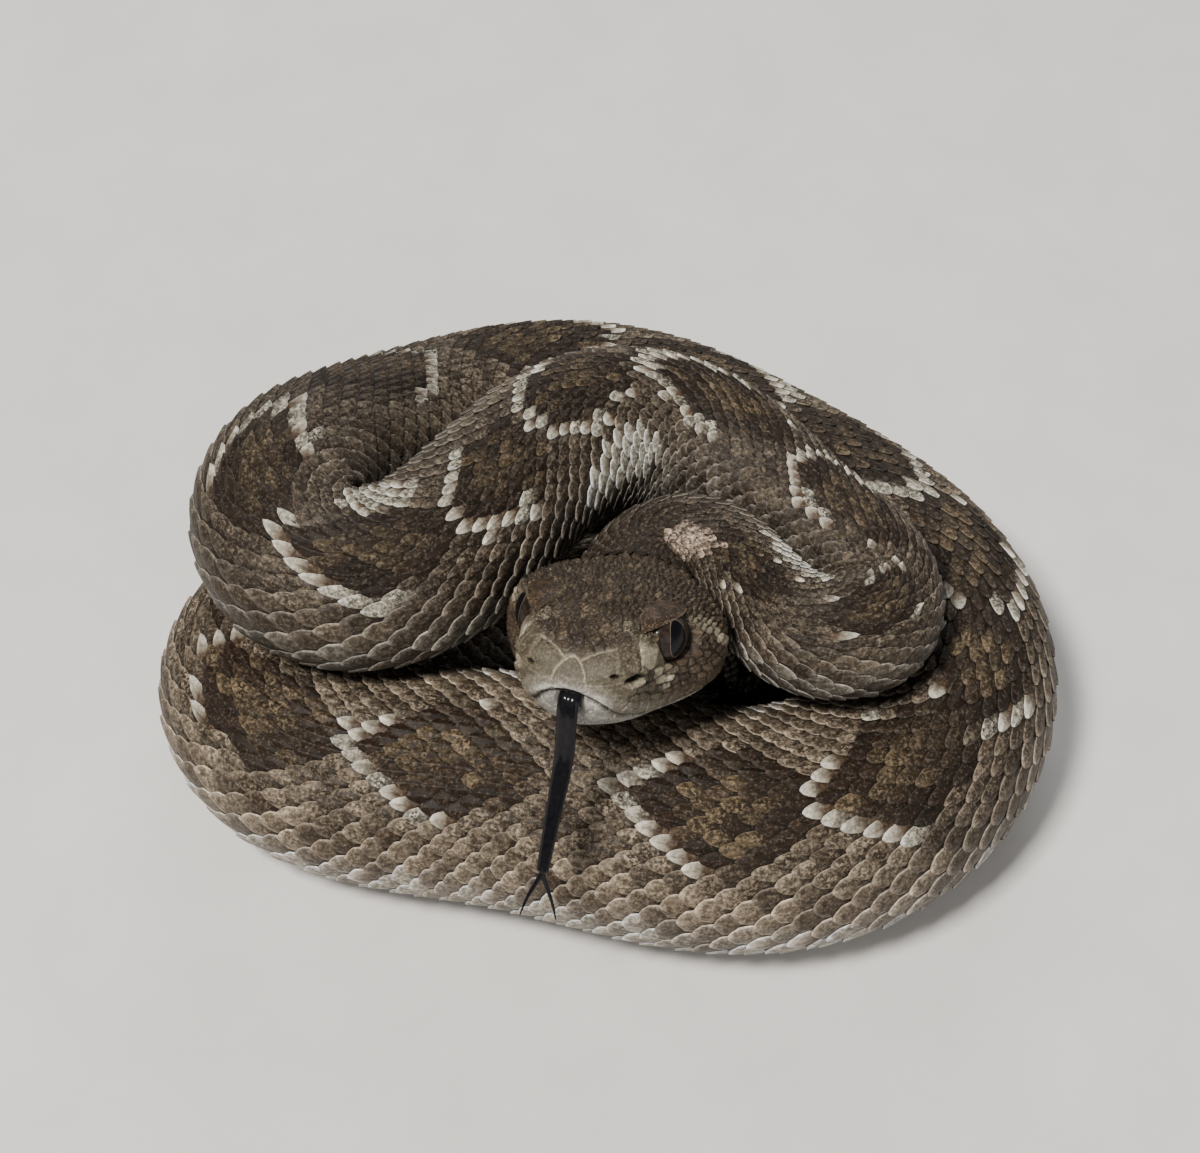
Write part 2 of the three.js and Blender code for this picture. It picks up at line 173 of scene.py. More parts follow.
# The head, as in the part: the way it faces, and its sections from behind the joint to the snout
head = {"yaw": -21, "pitch": 30, "roll": 7.5, "length": 27.5, "overlap": 4, "napeBlend": 5}
headSections = namedRows(
    ("at", "width", "crown", "lip", "chin", "boxiness"),
    (-4, 8.4, 8.2, -2.0, -8.2, 2.1),
    (-1, 10.4, 8.4, -2.2, -8.4, 2.2),
    (2.5, 13.8, 8.8, -2.6, -8.7, 2.3),
    (6, 15.2, 9.2, -3.4, -8.8, 2.3),
    (10, 14.5, 9.5, -4.4, -8.6, 2.4),
    (14, 12.2, 9.5, -5.0, -8.2, 2.5),
    (18, 10.2, 8.9, -5.0, -7.6, 2.7),
    (21.5, 9.2, 7.6, -4.0, -6.8, 2.9),
    (25, 8.3, 5.9, -2.3, -5.4, 3.0),
    (27.5, 7.0, 4.4, 0.9, -4.2, 3.0),
)
snout = {"round": 4.2, "taper": 0.8}
widest = {"rear": 0.3, "front": 2.0, "from": 10, "to": 25}
underSnout = {"boxiness": 1.75, "from": 17, "to": 25}
sectionAt = {
    key: naturalSpline([row["at"] for row in headSections], [row[key] for row in headSections])
    for key in ["width", "crown", "lip", "chin", "boxiness"]
}


def turnAbout(axis, degrees):
    c, s = math.cos(math.radians(degrees)), math.sin(math.radians(degrees))
    i, j = [(1, 2), (2, 0), (0, 1)][axis]
    matrix = np.eye(3)
    matrix[i, i] = matrix[j, j] = c
    matrix[i, j], matrix[j, i] = -s, s
    return matrix


headTurn = turnAbout(2, head["yaw"] - 90) @ turnAbout(1, -head["pitch"]) @ turnAbout(0, head["roll"])
headOrigin = centreAt(0.0)


def fromHead(points):
    return headOrigin + np.asarray(points, float) @ headTurn.T


def toHead(points):
    return (np.asarray(points, float) - headOrigin) @ headTurn


cheekStep = 2
cheeks = []
for at in np.arange(0, head["length"] - snout["round"] + 1e-6, cheekStep):
    tall = (sectionAt["crown"](at) - sectionAt["chin"](at)) / 2
    for side in (1, -1):
        beside = side * max(0, sectionAt["width"](at) - tall)
        cheeks.append((-at, tall, *fromHead([at, beside, 0])))
cheeks = np.array(cheeks)
contactS = np.concatenate([sampleS, cheeks[:, 0]])
contactRadius = np.concatenate([girthAt(sampleS), cheeks[:, 1]])
contactPlace = np.vstack([samplePlace, cheeks[:, 2:]])


# How far the flesh reaches from the centreline at s in each direction: lengths that lie on each
# other flatten where they meet, a tight bend on its inner side, and the belly on the floor
def fleshReach(s, centre, out):
    own = float(girthAt(s))
    apart = centre - contactPlace
    distance = np.linalg.norm(apart, axis=1)
    near = np.abs(contactS - s) >= flesh["neighbourShare"] * np.maximum(own, contactRadius)
    near &= distance <= own + contactRadius + flesh["contactRange"]
    offset = contactRadius[near] - own + flesh["restingGap"]
    facing = offset - out @ apart[near].T
    room = (distance[near] ** 2 - offset**2) / (2 * np.maximum(facing, 1e-6))
    limit = np.where(facing > 0, room, np.inf).min(axis=1, initial=np.inf)
    step = flesh["sampleStep"]
    bend = (directionAt(s + step) - directionAt(s - step)) / (2 * step)
    inward = out @ bend
    folded = (1 - flesh["bendMargin"] * np.linalg.norm(bend)) / np.maximum(inward, 1e-6)
    limit = np.where(inward > 0, np.minimum(limit, folded), limit)
    reach = own / (1 + (own / limit) ** flesh["softness"]) ** (1 / flesh["softness"])
    down = np.maximum(-out[:, 2], 1e-6)
    return np.where(out[:, 2] < 0, np.minimum(reach, centre[2] / down), reach)


# A ring's angles run from the snake's left side over its back to its right
def bodyRing(s, angles):
    centre = centreAt(s)
    along = directionAt(s)
    left = unit(np.array([along[1], -along[0], 0.0]))
    up = np.cross(left, along)
    out = np.outer(np.cos(angles), left) + np.outer(np.sin(angles), up)
    return centre + out * fleshReach(s, centre, out)[:, None]


def headRing(s, angles):
    at = max(-s, -head["overlap"])
    behind = max(0.0, s)
    forward, left = headTurn.T[:2]
    ease = smoothStep(-s, -head["overlap"], head["napeBlend"])
    along = -directionAt(behind)
    bodyLeft = unit(np.array([-along[1], along[0], 0.0]))
    ahead = unit(along + (forward - along) * ease)
    top = unit(np.cross(ahead, bodyLeft + (left - bodyLeft) * ease))
    across = np.cross(top, ahead)
    centre = centreAt(behind) if s > 0 else headOrigin + forward * at
    rounding = max(0.0, (at - head["length"] + snout["round"]) / snout["round"])
    shrink = math.sqrt(max(0.0, 1 - rounding**2))
    forwards = smoothStep(at, widest["from"], widest["to"])
    middle = widest["rear"] + (widest["front"] - widest["rear"]) * forwards
    c, n = np.cos(angles), np.sin(angles)
    boxiness = sectionAt["boxiness"](at)
    rounder = smoothStep(at, underSnout["from"], underSnout["to"]) * (n < 0)
    power = 2 / (boxiness + (underSnout["boxiness"] - boxiness) * rounder)
    reach = np.where(n > 0, sectionAt["crown"](at) - middle, middle - sectionAt["chin"](at))
    out = sectionAt["width"](at) * shrink ** snout["taper"] * np.sign(c) * np.abs(c) ** power
    rise = middle + shrink * reach * np.sign(n) * np.abs(n) ** power
    return centre + np.outer(out, across) + np.outer(rise, top)


# The whole outer surface as one run of rings, from the snout to the tail: the head's rings ease
# into the body's over the nape
surface = {
    "easeFrom": 1,
    "easeTo": 9,
    "tableStep": 1.0,
    "tableAround": 240,
}


def outerRing(s, angles):
    ease = float(smoothStep(s, surface["easeFrom"], surface["easeTo"]))
    if ease <= 0:
        return headRing(s, angles)
    if ease >= 1:
        return bodyRing(s, angles)
    return headRing(s, angles) * (1 - ease) + bodyRing(s, angles) * ease


def gridNormals(rings):
    along = np.gradient(rings, axis=0)
    around = np.roll(rings, -1, axis=1) - np.roll(rings, 1, axis=1)
    normals = unit(np.cross(around, along))
    outward = rings - rings.mean(axis=1, keepdims=True)
    return normals * np.sign((normals * outward).sum())


# The roll of the back, in degrees, by the distance from the head
rollAt = naturalSpline(joints, [routeStart["roll"]] + [row["roll"] for row in stretches])

tableS = np.arange(-2.0, bodyLength, surface["tableStep"])
tableS = np.append(tableS, bodyLength)
tableAngles = np.arange(surface["tableAround"]) * 2 * math.pi / surface["tableAround"]
tableRings = np.array([outerRing(s, tableAngles) for s in tableS])
tableNormals = gridNormals(tableRings)
print("surface: %d rings over %.0f mm" % (len(tableS), bodyLength))


# Points on the outer surface at s, phi degrees from the back's ridge towards the snake's left,
# raised by lift along the normal
def onBody(s, phi, lift):
    theta = (90 - rollAt(s) - phi) % 360 / 360 * surface["tableAround"]
    row = np.clip(np.interp(s, tableS, np.arange(len(tableS))), 0, len(tableS) - 1.001)
    i = row.astype(int)
    j = theta.astype(int) % surface["tableAround"]
    after = (j + 1) % surface["tableAround"]
    a = (row - i)[:, None]
    b = (theta - theta.astype(int))[:, None]

    def blended(table):
        near = table[i, j] * (1 - b) + table[i, after] * b
        far = table[i + 1, j] * (1 - b) + table[i + 1, after] * b
        return near * (1 - a) + far * a

    points = blended(tableRings) + unit(blended(tableNormals)) * lift[:, None]
    points[:, 2] = np.maximum(points[:, 2], 0)
    return points


# Colours are given as seen on a screen, 0 to 255
def screen(r, g, b):
    c = np.array([r, g, b]) / 255
    return np.where(c <= 0.04045, c / 12.92, ((c + 0.055) / 1.055) ** 2.4)


def mixed(a, b, share):
    share = np.asarray(share, float)[..., None]
    return a * (1 - share) + b * share


# The quads of a sheet of points, row by row
def sheetFaces(index):
    corners = [index[:-1, :-1], index[:-1, 1:], index[1:, 1:], index[1:, :-1]]
    return np.stack(corners, -1).reshape(-1, 4)


# The quads of a tube of points, whose rows are closed rings
def gridFaces(index):
    return sheetFaces(np.concatenate([index, index[:, :1]], axis=1))


# Triangles from a closed row of points to one point
def fanFaces(ring, tip):
    return np.stack([ring, np.roll(ring, -1), np.full(len(ring), tip)], 1)


# The same triangles facing the other way
def turned(faces):
    return np.stack([faces[:, 1], faces[:, 0], faces[:, 2]], 1)


# The points round the edge of a sheet
def rimOf(index):
    return np.concatenate([index[0], index[1:, -1], index[-1, -2::-1], index[-2:0:-1, 0]])


# A mesh piece from points in millimetres. If its faces enclose a negative volume, all are turned.
def newPiece(name, points, faces, material, smooth=True):
    points = np.asarray(points, float)
    volume = 0.0
    for block in faces:
        for k in range(1, block.shape[1] - 1):
            a, b, c = points[block[:, 0]], points[block[:, k]], points[block[:, k + 1]]
            volume += (a * np.cross(b, c)).sum()
    if volume < 0:
        faces = [block[:, ::-1] for block in faces]
    mesh = bpy.data.meshes.new(name)
    mesh.vertices.add(len(points))
    mesh.vertices.foreach_set("co", (points * mm).astype(np.float32).ravel())
    corners = np.concatenate([block.ravel() for block in faces])
    mesh.loops.add(len(corners))
    mesh.loops.foreach_set("vertex_index", corners.astype(np.int32))
    sizes = np.concatenate([np.full(len(block), block.shape[1]) for block in faces])
    mesh.polygons.add(len(sizes))
    mesh.polygons.foreach_set("loop_start", (np.cumsum(sizes) - sizes).astype(np.int32))
    mesh.polygons.foreach_set("use_smooth", np.full(len(sizes), smooth))
    mesh.update(calc_edges=True)
    mesh.validate()
    piece = bpy.data.objects.new(name, mesh)
    bpy.context.scene.collection.objects.link(piece)
    mesh.materials.append(material)
    return piece


# Colours of a piece's points; their fourth part says how strongly flecks show there
def paint(piece, name, colours, flecks=1):
    layer = piece.data.color_attributes.new(name, "FLOAT_COLOR", "POINT")
    rgba = np.ones((len(colours), 4), np.float32)
    rgba[:, :3] = np.clip(colours, 0, 1)
    rgba[:, 3] = flecks
    layer.data.foreach_set("color", rgba.ravel())


def setMap(piece, name, places):
    layer = piece.data.uv_layers.new(name=name)
    corners = np.zeros(len(piece.data.loops), np.int32)
    piece.data.loops.foreach_get("vertex_index", corners)
    layer.data.foreach_set("uv", places[corners].astype(np.float32).ravel())


def place(piece, nodes=()):
    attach(piece, "root")
    if nodes:
        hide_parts(*nodes)


# The markings. Each diamond of the back: its middle from the head, its half length along the
# body in millimetres and its half width in degrees round it. Corner is the diamonds' form down
# the body: 1 gives straight sides, 2 an ellipse, more a rounded block. The pale border runs
# along the side towards the tail. On the snake's left it ends at leftArm, a share of the
# width, and 2 never ends it. Pale is the share of the border that shows.
pattern = {
    "diamonds": namedRows(
        ("at", "long", "wide", "leftArm", "pale"),
        (29, 7, 23, 2, 0.4),
        (46, 6, 22, 2, 0.4),
        (65.5, 9, 26, 2, 1),
        (90.5, 11, 28, 2, 1),
        (113, 8, 29, 2, 1),
        (130.5, 7, 27, 2, 1),
        (148.5, 9, 28, 0.3, 1),
        (166.5, 7, 30, 2, 1),
        (193, 13.5, 30, 2, 1),
        (226, 12.5, 29, 2, 1),
        (253.5, 11, 28, 2, 1),
        (278, 10.5, 28, 2, 1),
        (299.5, 9, 30, 2, 1),
        (316, 8, 29, 0.62, 1),
        (334, 10, 29, 0.62, 1),
        (357, 11.5, 30, 0.62, 1),
        (393, 13, 30, 0.62, 1),
        (418, 10, 28, 0.62, 0.55),
        (441, 9.5, 27, 0.62, 0.7),
        (463, 9, 27, 2, 1),
        (483, 8, 26, 2, 1),
        (501, 7, 24, 2, 1),
        (517, 6, 21, 2, 1),
    ),
    "cornerAt": (0, 125, 150, 200, 250, 310, 335, 560),
    "corner": (2.2, 2.2, 1.35, 1.25, 1.7, 1.5, 1.1, 1.15),
    "border": 2.3,
    "headCorner": 1.6,
    "borderFrom": -0.12,
    "borderShare": 0.95,
    "strayPale": 0.72,
    "strayReach": 1.05,
    "strayFrom": 14,
    "reachFray": 0.05,
    "lightFray": 0.6,
    "lightTo": (0.2, 0.75),
    "rimFray": 0.42,
    "rimFrom": (0.5, 0.9),
    "rimHeadward": (0.6, 0.4),
    "mottle": (0.22, 0.35, 0.4),  # its mean, and the shares of waves and of fray
    "sideFray": 7,
    "sideFrom": 50,
    "sideTo": 84,
    "sideShare": 0.85,
    "flankSpot": {"phi": 58, "long": 4.2, "wide": 9, "shade": "groundDark", "strength": 0.6},
    "lowSpot": {"phi": 86, "long": 3.4, "wide": 9, "shade": "groundDark", "strength": 0.6},
    "tailBand": 10.5,
    "tailFrom": 522,
    "tailEase": 3,
    "loopsDark": 0.38,
    "loopsTo": (180, 215),
    "loopsGround": 0.68,
    "backDark": 0.34,
    "backTo": (325, 347),
    "paleMark": (0.33, 0.45),
    "paleSpared": 0.5,
    "lowestPale": (66, 86),
    "lowestFray": 12,
    "lowestShare": 0.55,
    "bellyFrom": (124, 132),
}
# How the edges of oval spots fray and soften
spotEdges = {
    "ground": {"fray": 0.3, "soft": (0.6, 1.2)},
    "dark": {"fray": 0.2, "soft": (0.7, 1.1)},
    "pale": {"fray": 0.15, "soft": (0.85, 0.95)},
}
# Pale patches: behind the head, in the crease of the left loop, and on the right sides of the
# crossing and of the neck
palePatches = [
    {"at": 16.5, "phi": 14, "long": 8, "wide": 21, "shade": "nape", "strength": 0.95},
    {"at": 148, "phi": 42, "long": 9, "wide": 18, "shade": "cream", "strength": 0.8},
    {"at": 112, "phi": -68, "long": 13, "wide": 22, "shade": "cream", "strength": 0.6},
    {"at": 33, "phi": -52, "long": 9, "wide": 20, "shade": "cream", "strength": 0.6},
]
# Dark patches: on both sides of the ridge in the ring's front, and over the nape
darkPatches = [
    {"at": 376, "phi": -24, "long": 5, "wide": 9, "shade": "napeDark", "strength": 0.7},
    {"at": 376, "phi": 24, "long": 5, "wide": 9, "shade": "napeDark", "strength": 0.7},
    {"at": 0, "phi": 0, "long": 24, "wide": 80, "shade": "napeDark", "strength": 0.85},
]
shades = {
    "ground": screen(112, 100, 84),
    "groundDark": screen(58, 47, 36),
    "blotch": screen(50, 40, 30),
    "blotchEdge": screen(31, 20, 12),
    "blotchLight": screen(86, 73, 54),
    "cream": screen(194, 187, 168),
    "side": screen(106, 97, 87),
    "belly": screen(190, 182, 166),
    "nape": screen(166, 145, 127),
    "napeDark": screen(48, 38, 29),
    "root": screen(70, 55, 42),
    "black": screen(26, 23, 21),
    "ash": screen(180, 175, 166),
}


# A spot's shade laid over the colours of the points inside it
def overSpot(colour, s, phi, fray, spot, edge):
    reach = np.hypot((s - spot["at"]) / spot["long"], (phi - spot["phi"]) / spot["wide"])
    inside = 1 - smoothStep(reach + spotEdges[edge]["fray"] * fray, *spotEdges[edge]["soft"])
    return mixed(colour, shades[spot["shade"]], spot["strength"] * inside)


# The mottled colour between the diamonds, paler low on the sides, and its rows of dark spots
def groundColour(s, phi, fray):
    p = pattern
    waves = np.sin(s * 0.61 + 2 * np.sin(phi * 0.07)) * np.sin(phi * 0.13 + s * 0.23)
    mean, waveShare, frayShare = p["mottle"]
    mottled = np.clip(mean + waveShare * waves + frayShare * fray, 0, 1)
    colour = mixed(shades["ground"], shades["groundDark"], mottled)
    low = smoothStep(np.abs(phi) + p["sideFray"] * fray, p["sideFrom"], p["sideTo"])
    colour = mixed(colour, shades["side"], low * p["sideShare"])
    lowest = smoothStep(np.abs(phi) - p["lowestFray"] * fray, *p["lowestPale"])
    colour = mixed(colour, shades["belly"], p["lowestShare"] * lowest)
    onLoops = (0.4 + 0.6 * low) * (1 - smoothStep(s, *p["loopsTo"]))
    colour = colour * (1 - p["loopsGround"] * onLoops)[..., None]
    middles = np.array([d["at"] for d in p["diamonds"]])
    between = (middles[1:] + middles[:-1]) / 2
    for sign in (-1, 1):
        for kind, places in (("flankSpot", between), ("lowSpot", middles)):
            for at in places:
                spot = dict(p[kind], at=at, phi=sign * p[kind]["phi"])
                colour = overSpot(colour, s, phi, fray, spot, "ground")
    return colour


# One diamond laid over the colours: dark towards its rim, and its pale border outside
def overDiamond(colour, s, phi, fray, corner, d):
    p = pattern
    x = (s - d["at"]) / d["long"]
    y = phi / d["wide"]
    bend = np.where(x < 0, np.maximum(corner, p["headCorner"]), corner)
    reach = (np.abs(x) ** bend + np.abs(y) ** bend) ** (1 / bend)
    reach = np.maximum(reach + p["reachFray"] * fray, 0.01)
    slopeS = (np.abs(x) / reach) ** (bend - 1) / d["long"]
    slopeY = (np.abs(y) / reach) ** (bend - 1) / (d["wide"] * np.radians(girthAt(s)))
    outside = (reach - 1) / np.hypot(slopeS, slopeY)
    bordered = (x > p["borderFrom"]) & (y < d["leftArm"]) & (fray > 1.2 - 2.2 * d["pale"])
    stray = (fray > p["strayPale"]) & (np.abs(x) < p["strayReach"]) & (np.abs(phi) > p["strayFrom"])
    pale = (outside >= 0) & (outside < np.where(bordered | stray, p["border"], 0))
    colour = mixed(colour, shades["cream"], pale * p["borderShare"])
    darker = smoothStep(reach + p["lightFray"] * fray, *p["lightTo"])
    inner = mixed(shades["blotchLight"], shades["blotch"], darker)
    headward, tailward = p["rimHeadward"]
    rim = smoothStep(reach + p["rimFray"] * fray, *p["rimFrom"])
    inner = mixed(inner, shades["blotchEdge"], rim * (headward + tailward * smoothStep(x, -0.5, 0.1)))
    return mixed(colour, inner, (reach < 1) * 1.0)


# The colour of the body at s, phi. Fray, one number per point, roughens the markings' edges.
def markings(s, phi, fray):
    p = pattern
    colour = groundColour(s, phi, fray)
    for spot in darkPatches:
        colour = overSpot(colour, s, phi, fray, spot, "dark")
    corner = np.interp(s, p["cornerAt"], p["corner"])
    for d in p["diamonds"]:
        colour = overDiamond(colour, s, phi, fray, corner, d)
    loopsDark = p["loopsDark"] * (1 - smoothStep(s, *p["loopsTo"]))
    dark = np.maximum(loopsDark, p["backDark"] * (1 - smoothStep(s, *p["backTo"])))
    paleMark = smoothStep(colour.mean(-1), *p["paleMark"])
    colour = colour * (1 - dark * (1 - p["paleSpared"] * paleMark))[..., None]
    for spot in palePatches:
        colour = overSpot(colour, s, phi, fray, spot, "pale")
    belly = mixed(shades["belly"], shades["side"], np.clip(0.5 + 0.5 * fray, 0, 1))
    colour = mixed(colour, belly, smoothStep(np.abs(phi), *p["bellyFrom"]))
    wave = np.sin((s - p["tailFrom"]) / p["tailBand"] * 2 * math.pi)
    band = mixed(shades["ash"], shades["black"], smoothStep(wave + 0.1 * fray, -0.1, 0.1))
    return mixed(colour, band, smoothStep(s, p["tailFrom"], p["tailFrom"] + p["tailEase"]))


# Sets a node's inputs by name or number: sockets are linked, and constants set on the sockets
def setInputs(tree, node, inputs):
    for label, value in inputs.items():
        if isinstance(value, bpy.types.NodeSocket):
            tree.links.new(value, node.inputs[label])
        else:
            node.inputs[label].default_value = value


def newNode(tree, kind, inputs):
    node = tree.nodes.new(kind)
    setInputs(tree, node, inputs)
    return node


# A node group from the names, kinds and values of its inputs. Returns the tree and its two ends.
def newGroup(name, kind, inputs, outputs):
    tree = bpy.data.node_groups.new(name, kind)
    for label, socketKind, value in inputs:
        entry = tree.interface.new_socket(label, in_out="INPUT", socket_type="NodeSocket" + socketKind)
        if value is not None:
            entry.default_value = value
    for label, socketKind in outputs:
        tree.interface.new_socket(label, in_out="OUTPUT", socket_type="NodeSocket" + socketKind)
    return tree, tree.nodes.new("NodeGroupInput").outputs, tree.nodes.new("NodeGroupOutput")


def objectPlace(tree):
    return tree.nodes.new("ShaderNodeTexCoord").outputs["Object"]


def noiseNode(tree, spot, scale, detail, roughness=0.6):
    inputs = {"Scale": scale, "Detail": detail, "Roughness": roughness, "Vector": spot}
    return newNode(tree, "ShaderNodeTexNoise", inputs).outputs["Fac"]


def rangeNode(tree, value, low, high, toLow=0.0, toHigh=1.0):
    inputs = {"Value": value, "From Min": low, "From Max": high, "To Min": toLow, "To Max": toHigh}
    return newNode(tree, "ShaderNodeMapRange", inputs).outputs["Result"]


def mathNode(tree, operation, a, b):
    node = newNode(tree, "ShaderNodeMath", {0: a, 1: b})
    node.operation = operation
    return node.outputs[0]


def mixNode(tree, share, a, b, blend="MIX"):
    node = tree.nodes.new("ShaderNodeMix")
    node.data_type = "RGBA"
    node.blend_type = blend
    a, b = ((*value, 1) if isinstance(value, tuple) else value for value in (a, b))
    setInputs(tree, node, {"Factor": share, 6: a, 7: b})
    return node.outputs[2]


def bumpNode(tree, height, distance, strength):
    inputs = {"Distance": distance, "Strength": strength, "Height": height}
    return newNode(tree, "ShaderNodeBump", inputs).outputs["Normal"]


# Dry scale. The ranges say which part of each noise counts, and what it becomes.
dryLook = {
    "mottleScale": 1200,
    "clusterScale": 300,
    "mottle": (0.41, 0.6, 0.22, 1.7),
    "mottleInside": (0, 1, 0.3, 1),
    "pepper": (0.56, 0.46),
    "cluster": (0.38, 0.6, 0.45, 1),
    "dust": (0.54, 0.68),
    "roughness": (0.3, 0.7, 0.42, 0.62),
    "fleckColour": (0.018, 0.012, 0.008),
    "dustColour": (0.31, 0.265, 0.2),
    "bumpHeight": 0.00006,
}


# The painted colour mottled and peppered with fine dark flecks and paler dust, finely rough.
# Inside, from 0 to 1, says how strongly the flecks and the mottle show.
def makeDryScale():
    look = dryLook
    tree, inputs, outputs = newGroup(
        "dryScale",
        "ShaderNodeTree",
        [
            ("Color", "Color", (0.5, 0.5, 0.5, 1)),
            ("Inside", "Float", 1.0),
            ("Fleck Scale", "Float", 2600.0),
            ("Flecks", "Float", 0.6),
            ("Dust", "Float", 0.25),
            ("Mottle", "Float", 0.8),
            ("Relief", "Float", 0.2),
        ],
        [("Color", "Color"), ("Roughness", "Float"), ("Normal", "Vector")],
    )
    spot = objectPlace(tree)
    fine = noiseNode(tree, spot, inputs["Fleck Scale"], 3, 0.7)
    middle = noiseNode(tree, spot, look["mottleScale"], 4, 0.7)
    broad = noiseNode(tree, spot, look["clusterScale"], 2)
    shade = rangeNode(tree, middle, *look["mottle"])
    mottleInside = rangeNode(tree, inputs["Inside"], *look["mottleInside"])
    mottled = mathNode(tree, "MULTIPLY", inputs["Mottle"], mottleInside)
    shaded = mixNode(tree, mottled, inputs["Color"], shade, "MULTIPLY")
    pepper = rangeNode(tree, fine, *look["pepper"])
    clustered = mathNode(tree, "MULTIPLY", pepper, rangeNode(tree, broad, *look["cluster"]))
    dark = mathNode(tree, "MULTIPLY", clustered, inputs["Flecks"])
    dark = mathNode(tree, "MULTIPLY", dark, inputs["Inside"])
    flecked = mixNode(tree, dark, shaded, look["fleckColour"])
    dusty = mathNode(tree, "MULTIPLY", rangeNode(tree, fine, *look["dust"]), inputs["Dust"])
    setInputs(tree, outputs, {
        "Color": mixNode(tree, dusty, flecked, look["dustColour"]),
        "Roughness": rangeNode(tree, fine, *look["roughness"]),
        "Normal": bumpNode(tree, fine, look["bumpHeight"], inputs["Relief"]),
    })
    return tree


dryScale = makeDryScale()


# A material from the inputs of its shader, which a function of the tree gives
def newMaterial(name, shaderInputs):
    material = bpy.data.materials.new(name)
    material.use_nodes = True
    tree = material.node_tree
    setInputs(tree, tree.nodes["Principled BSDF"], shaderInputs(tree))
    return material


# A scaled material: its colour comes from the mesh's Tint, by way of the group above
def scaledMaterial(name, group, specular=0.16, coat=0.0):
    def shaderInputs(tree):
        tint = tree.nodes.new("ShaderNodeAttribute")
        tint.attribute_name = "Tint"
        dry = tree.nodes.new("ShaderNodeGroup")
        dry.node_tree = dryScale
        setInputs(tree, dry, dict(group, Color=tint.outputs["Color"], Inside=tint.outputs["Alpha"]))
        return {
            "Base Color": dry.outputs["Color"],
            "Roughness": dry.outputs["Roughness"],
            "Normal": dry.outputs["Normal"],
            "Specular IOR Level": specular,
            "Coat Weight": coat,
            "Coat Roughness": 0.35,
        }

    return newMaterial(name, shaderInputs)


scaledLooks = {
    "skin": {"Fleck Scale": 3200, "Flecks": 0.9, "Dust": 0.26, "Mottle": 0.55, "Relief": 0.45},
    "scale": {"Fleck Scale": 2300, "Flecks": 0.97, "Dust": 0.2, "Mottle": 0.9, "Relief": 0.32},
    "belly": {"Fleck Scale": 1800, "Flecks": 0.45, "Dust": 0.15, "Mottle": 0.6, "Relief": 0.1},
}
skinMaterial = scaledMaterial("headAndSkin", scaledLooks["skin"])
scaleMaterial = scaledMaterial("keeledScale", scaledLooks["scale"], 0.1)
bellyMaterial = scaledMaterial("bellyPlate", scaledLooks["belly"], 0.5, 0.15)
print("materials: scales")


# The scales of the back: closed shells with a sunk root, a keel and a raised, rounded tip,
# in rows along the body, every other row half a step on
backScales = {
    "across": (-1, -0.84, -0.5, -0.15, 0, 0.15, 0.5, 0.84, 1),
    "along": (0, 0.2, 0.4, 0.56, 0.7, 0.83, 0.94, 1),
    "widest": 0.5,
    "rootWidth": 0.5,
    "tipWidth": 0.07,
    "tipBend": 1.75,
    "tipRound": 0.6,
    "overlap": 1.5,
    "breadth": 0.88,
    "lowBreadth": 0.92,
    "keelHeight": 0.12,
    "leastRise": 0.3,  # in the folds of a bend the scales lie flatter, down to this share
    "keelWidth": 0.13,
    "crown": 0.12,
    "rootSunk": -0.62,
    "tipRaised": 0.15,
    "lowTip": 0.14,
    "lowRound": 0.3,
    "thick": 0.2,
    "lowRoundAt": (0.82, 0.13),
    "keelFrom": (0.1, 0.35),
    "rootAhead": 0.3,  # the share of a scale's length that lies before its place
    "toneVary": 0.26,
    "liftVary": 0.05,
    "stepBase": 1.3,
    "stepShare": 0.145,
    "napeShrink": 0.4,
    "napeTo": 15,
    "rows": 15,
    "pitch": 5.2,
    "lowPitches": (5.8, 6.6, 7.4, 8, 8.6, 9.4, 10.4, 11.6, 12.8, 13.8),
    "lowFrom": 28,
    "lowTo": 58,
    "from": 2.2,
    "vary": 0.06,
    "seed": 7,
    "patch": 0.003,
}
# The coat's pieces, with the distance from the head at which each ends
coatPieces = {
    "scalesNeck": 62,
    "scalesTopArc": 132,
    "scalesLeftLoop": 200,
    "scalesRingBack": 268,
    "scalesRingSide": 335,
    "scalesRingFront": 402,
    "scalesRingLeft": 462,
    "scalesInnerCoil": 510,
    "scalesTail": 600,
}


# A row's width, in degrees round the body
def pitchOf(j):
    low = abs(j) - (backScales["rows"] - len(backScales["lowPitches"])) - 1
    return backScales["lowPitches"][low] if low >= 0 else backScales["pitch"]


# The middles of the rows, in degrees from the ridge
def rowMiddles():
    middles = {0: 0.0}
    phi = 0.0
    for j in range(1, backScales["rows"] + 1):
        phi += (pitchOf(j) + pitchOf(j - 1)) / 2
        middles[j] = phi
        middles[-j] = -phi
    return middles


# A shell over a grid of across by along points, closed underneath by a lower rim and a fan.
# Returns for each point its place across, as narrowed by the outline, its place along, its place
# across before that and whether it lies underneath, with the faces.
def shellTemplate(across, along, outline):
    u, v = np.meshgrid(np.asarray(across, float), np.asarray(along, float))
    index = np.arange(u.size).reshape(u.shape)
    rim = rimOf(index)
    lower = np.arange(len(rim)) + u.size
    top = np.stack([u.ravel() * outline(v.ravel()), v.ravel(), u.ravel(), np.zeros(u.size)], 1)
    below = top[rim]
    below[:, 3] = 1
    sides = np.stack([np.roll(rim, -1), rim, lower, np.roll(lower, -1)], 1)
    fan = turned(fanFaces(lower, u.size + len(rim)))
    points = np.concatenate([top, below, [[0, 0.55, 0, 1.0]]])
    return points, [np.concatenate([sheetFaces(index), sides]), fan]


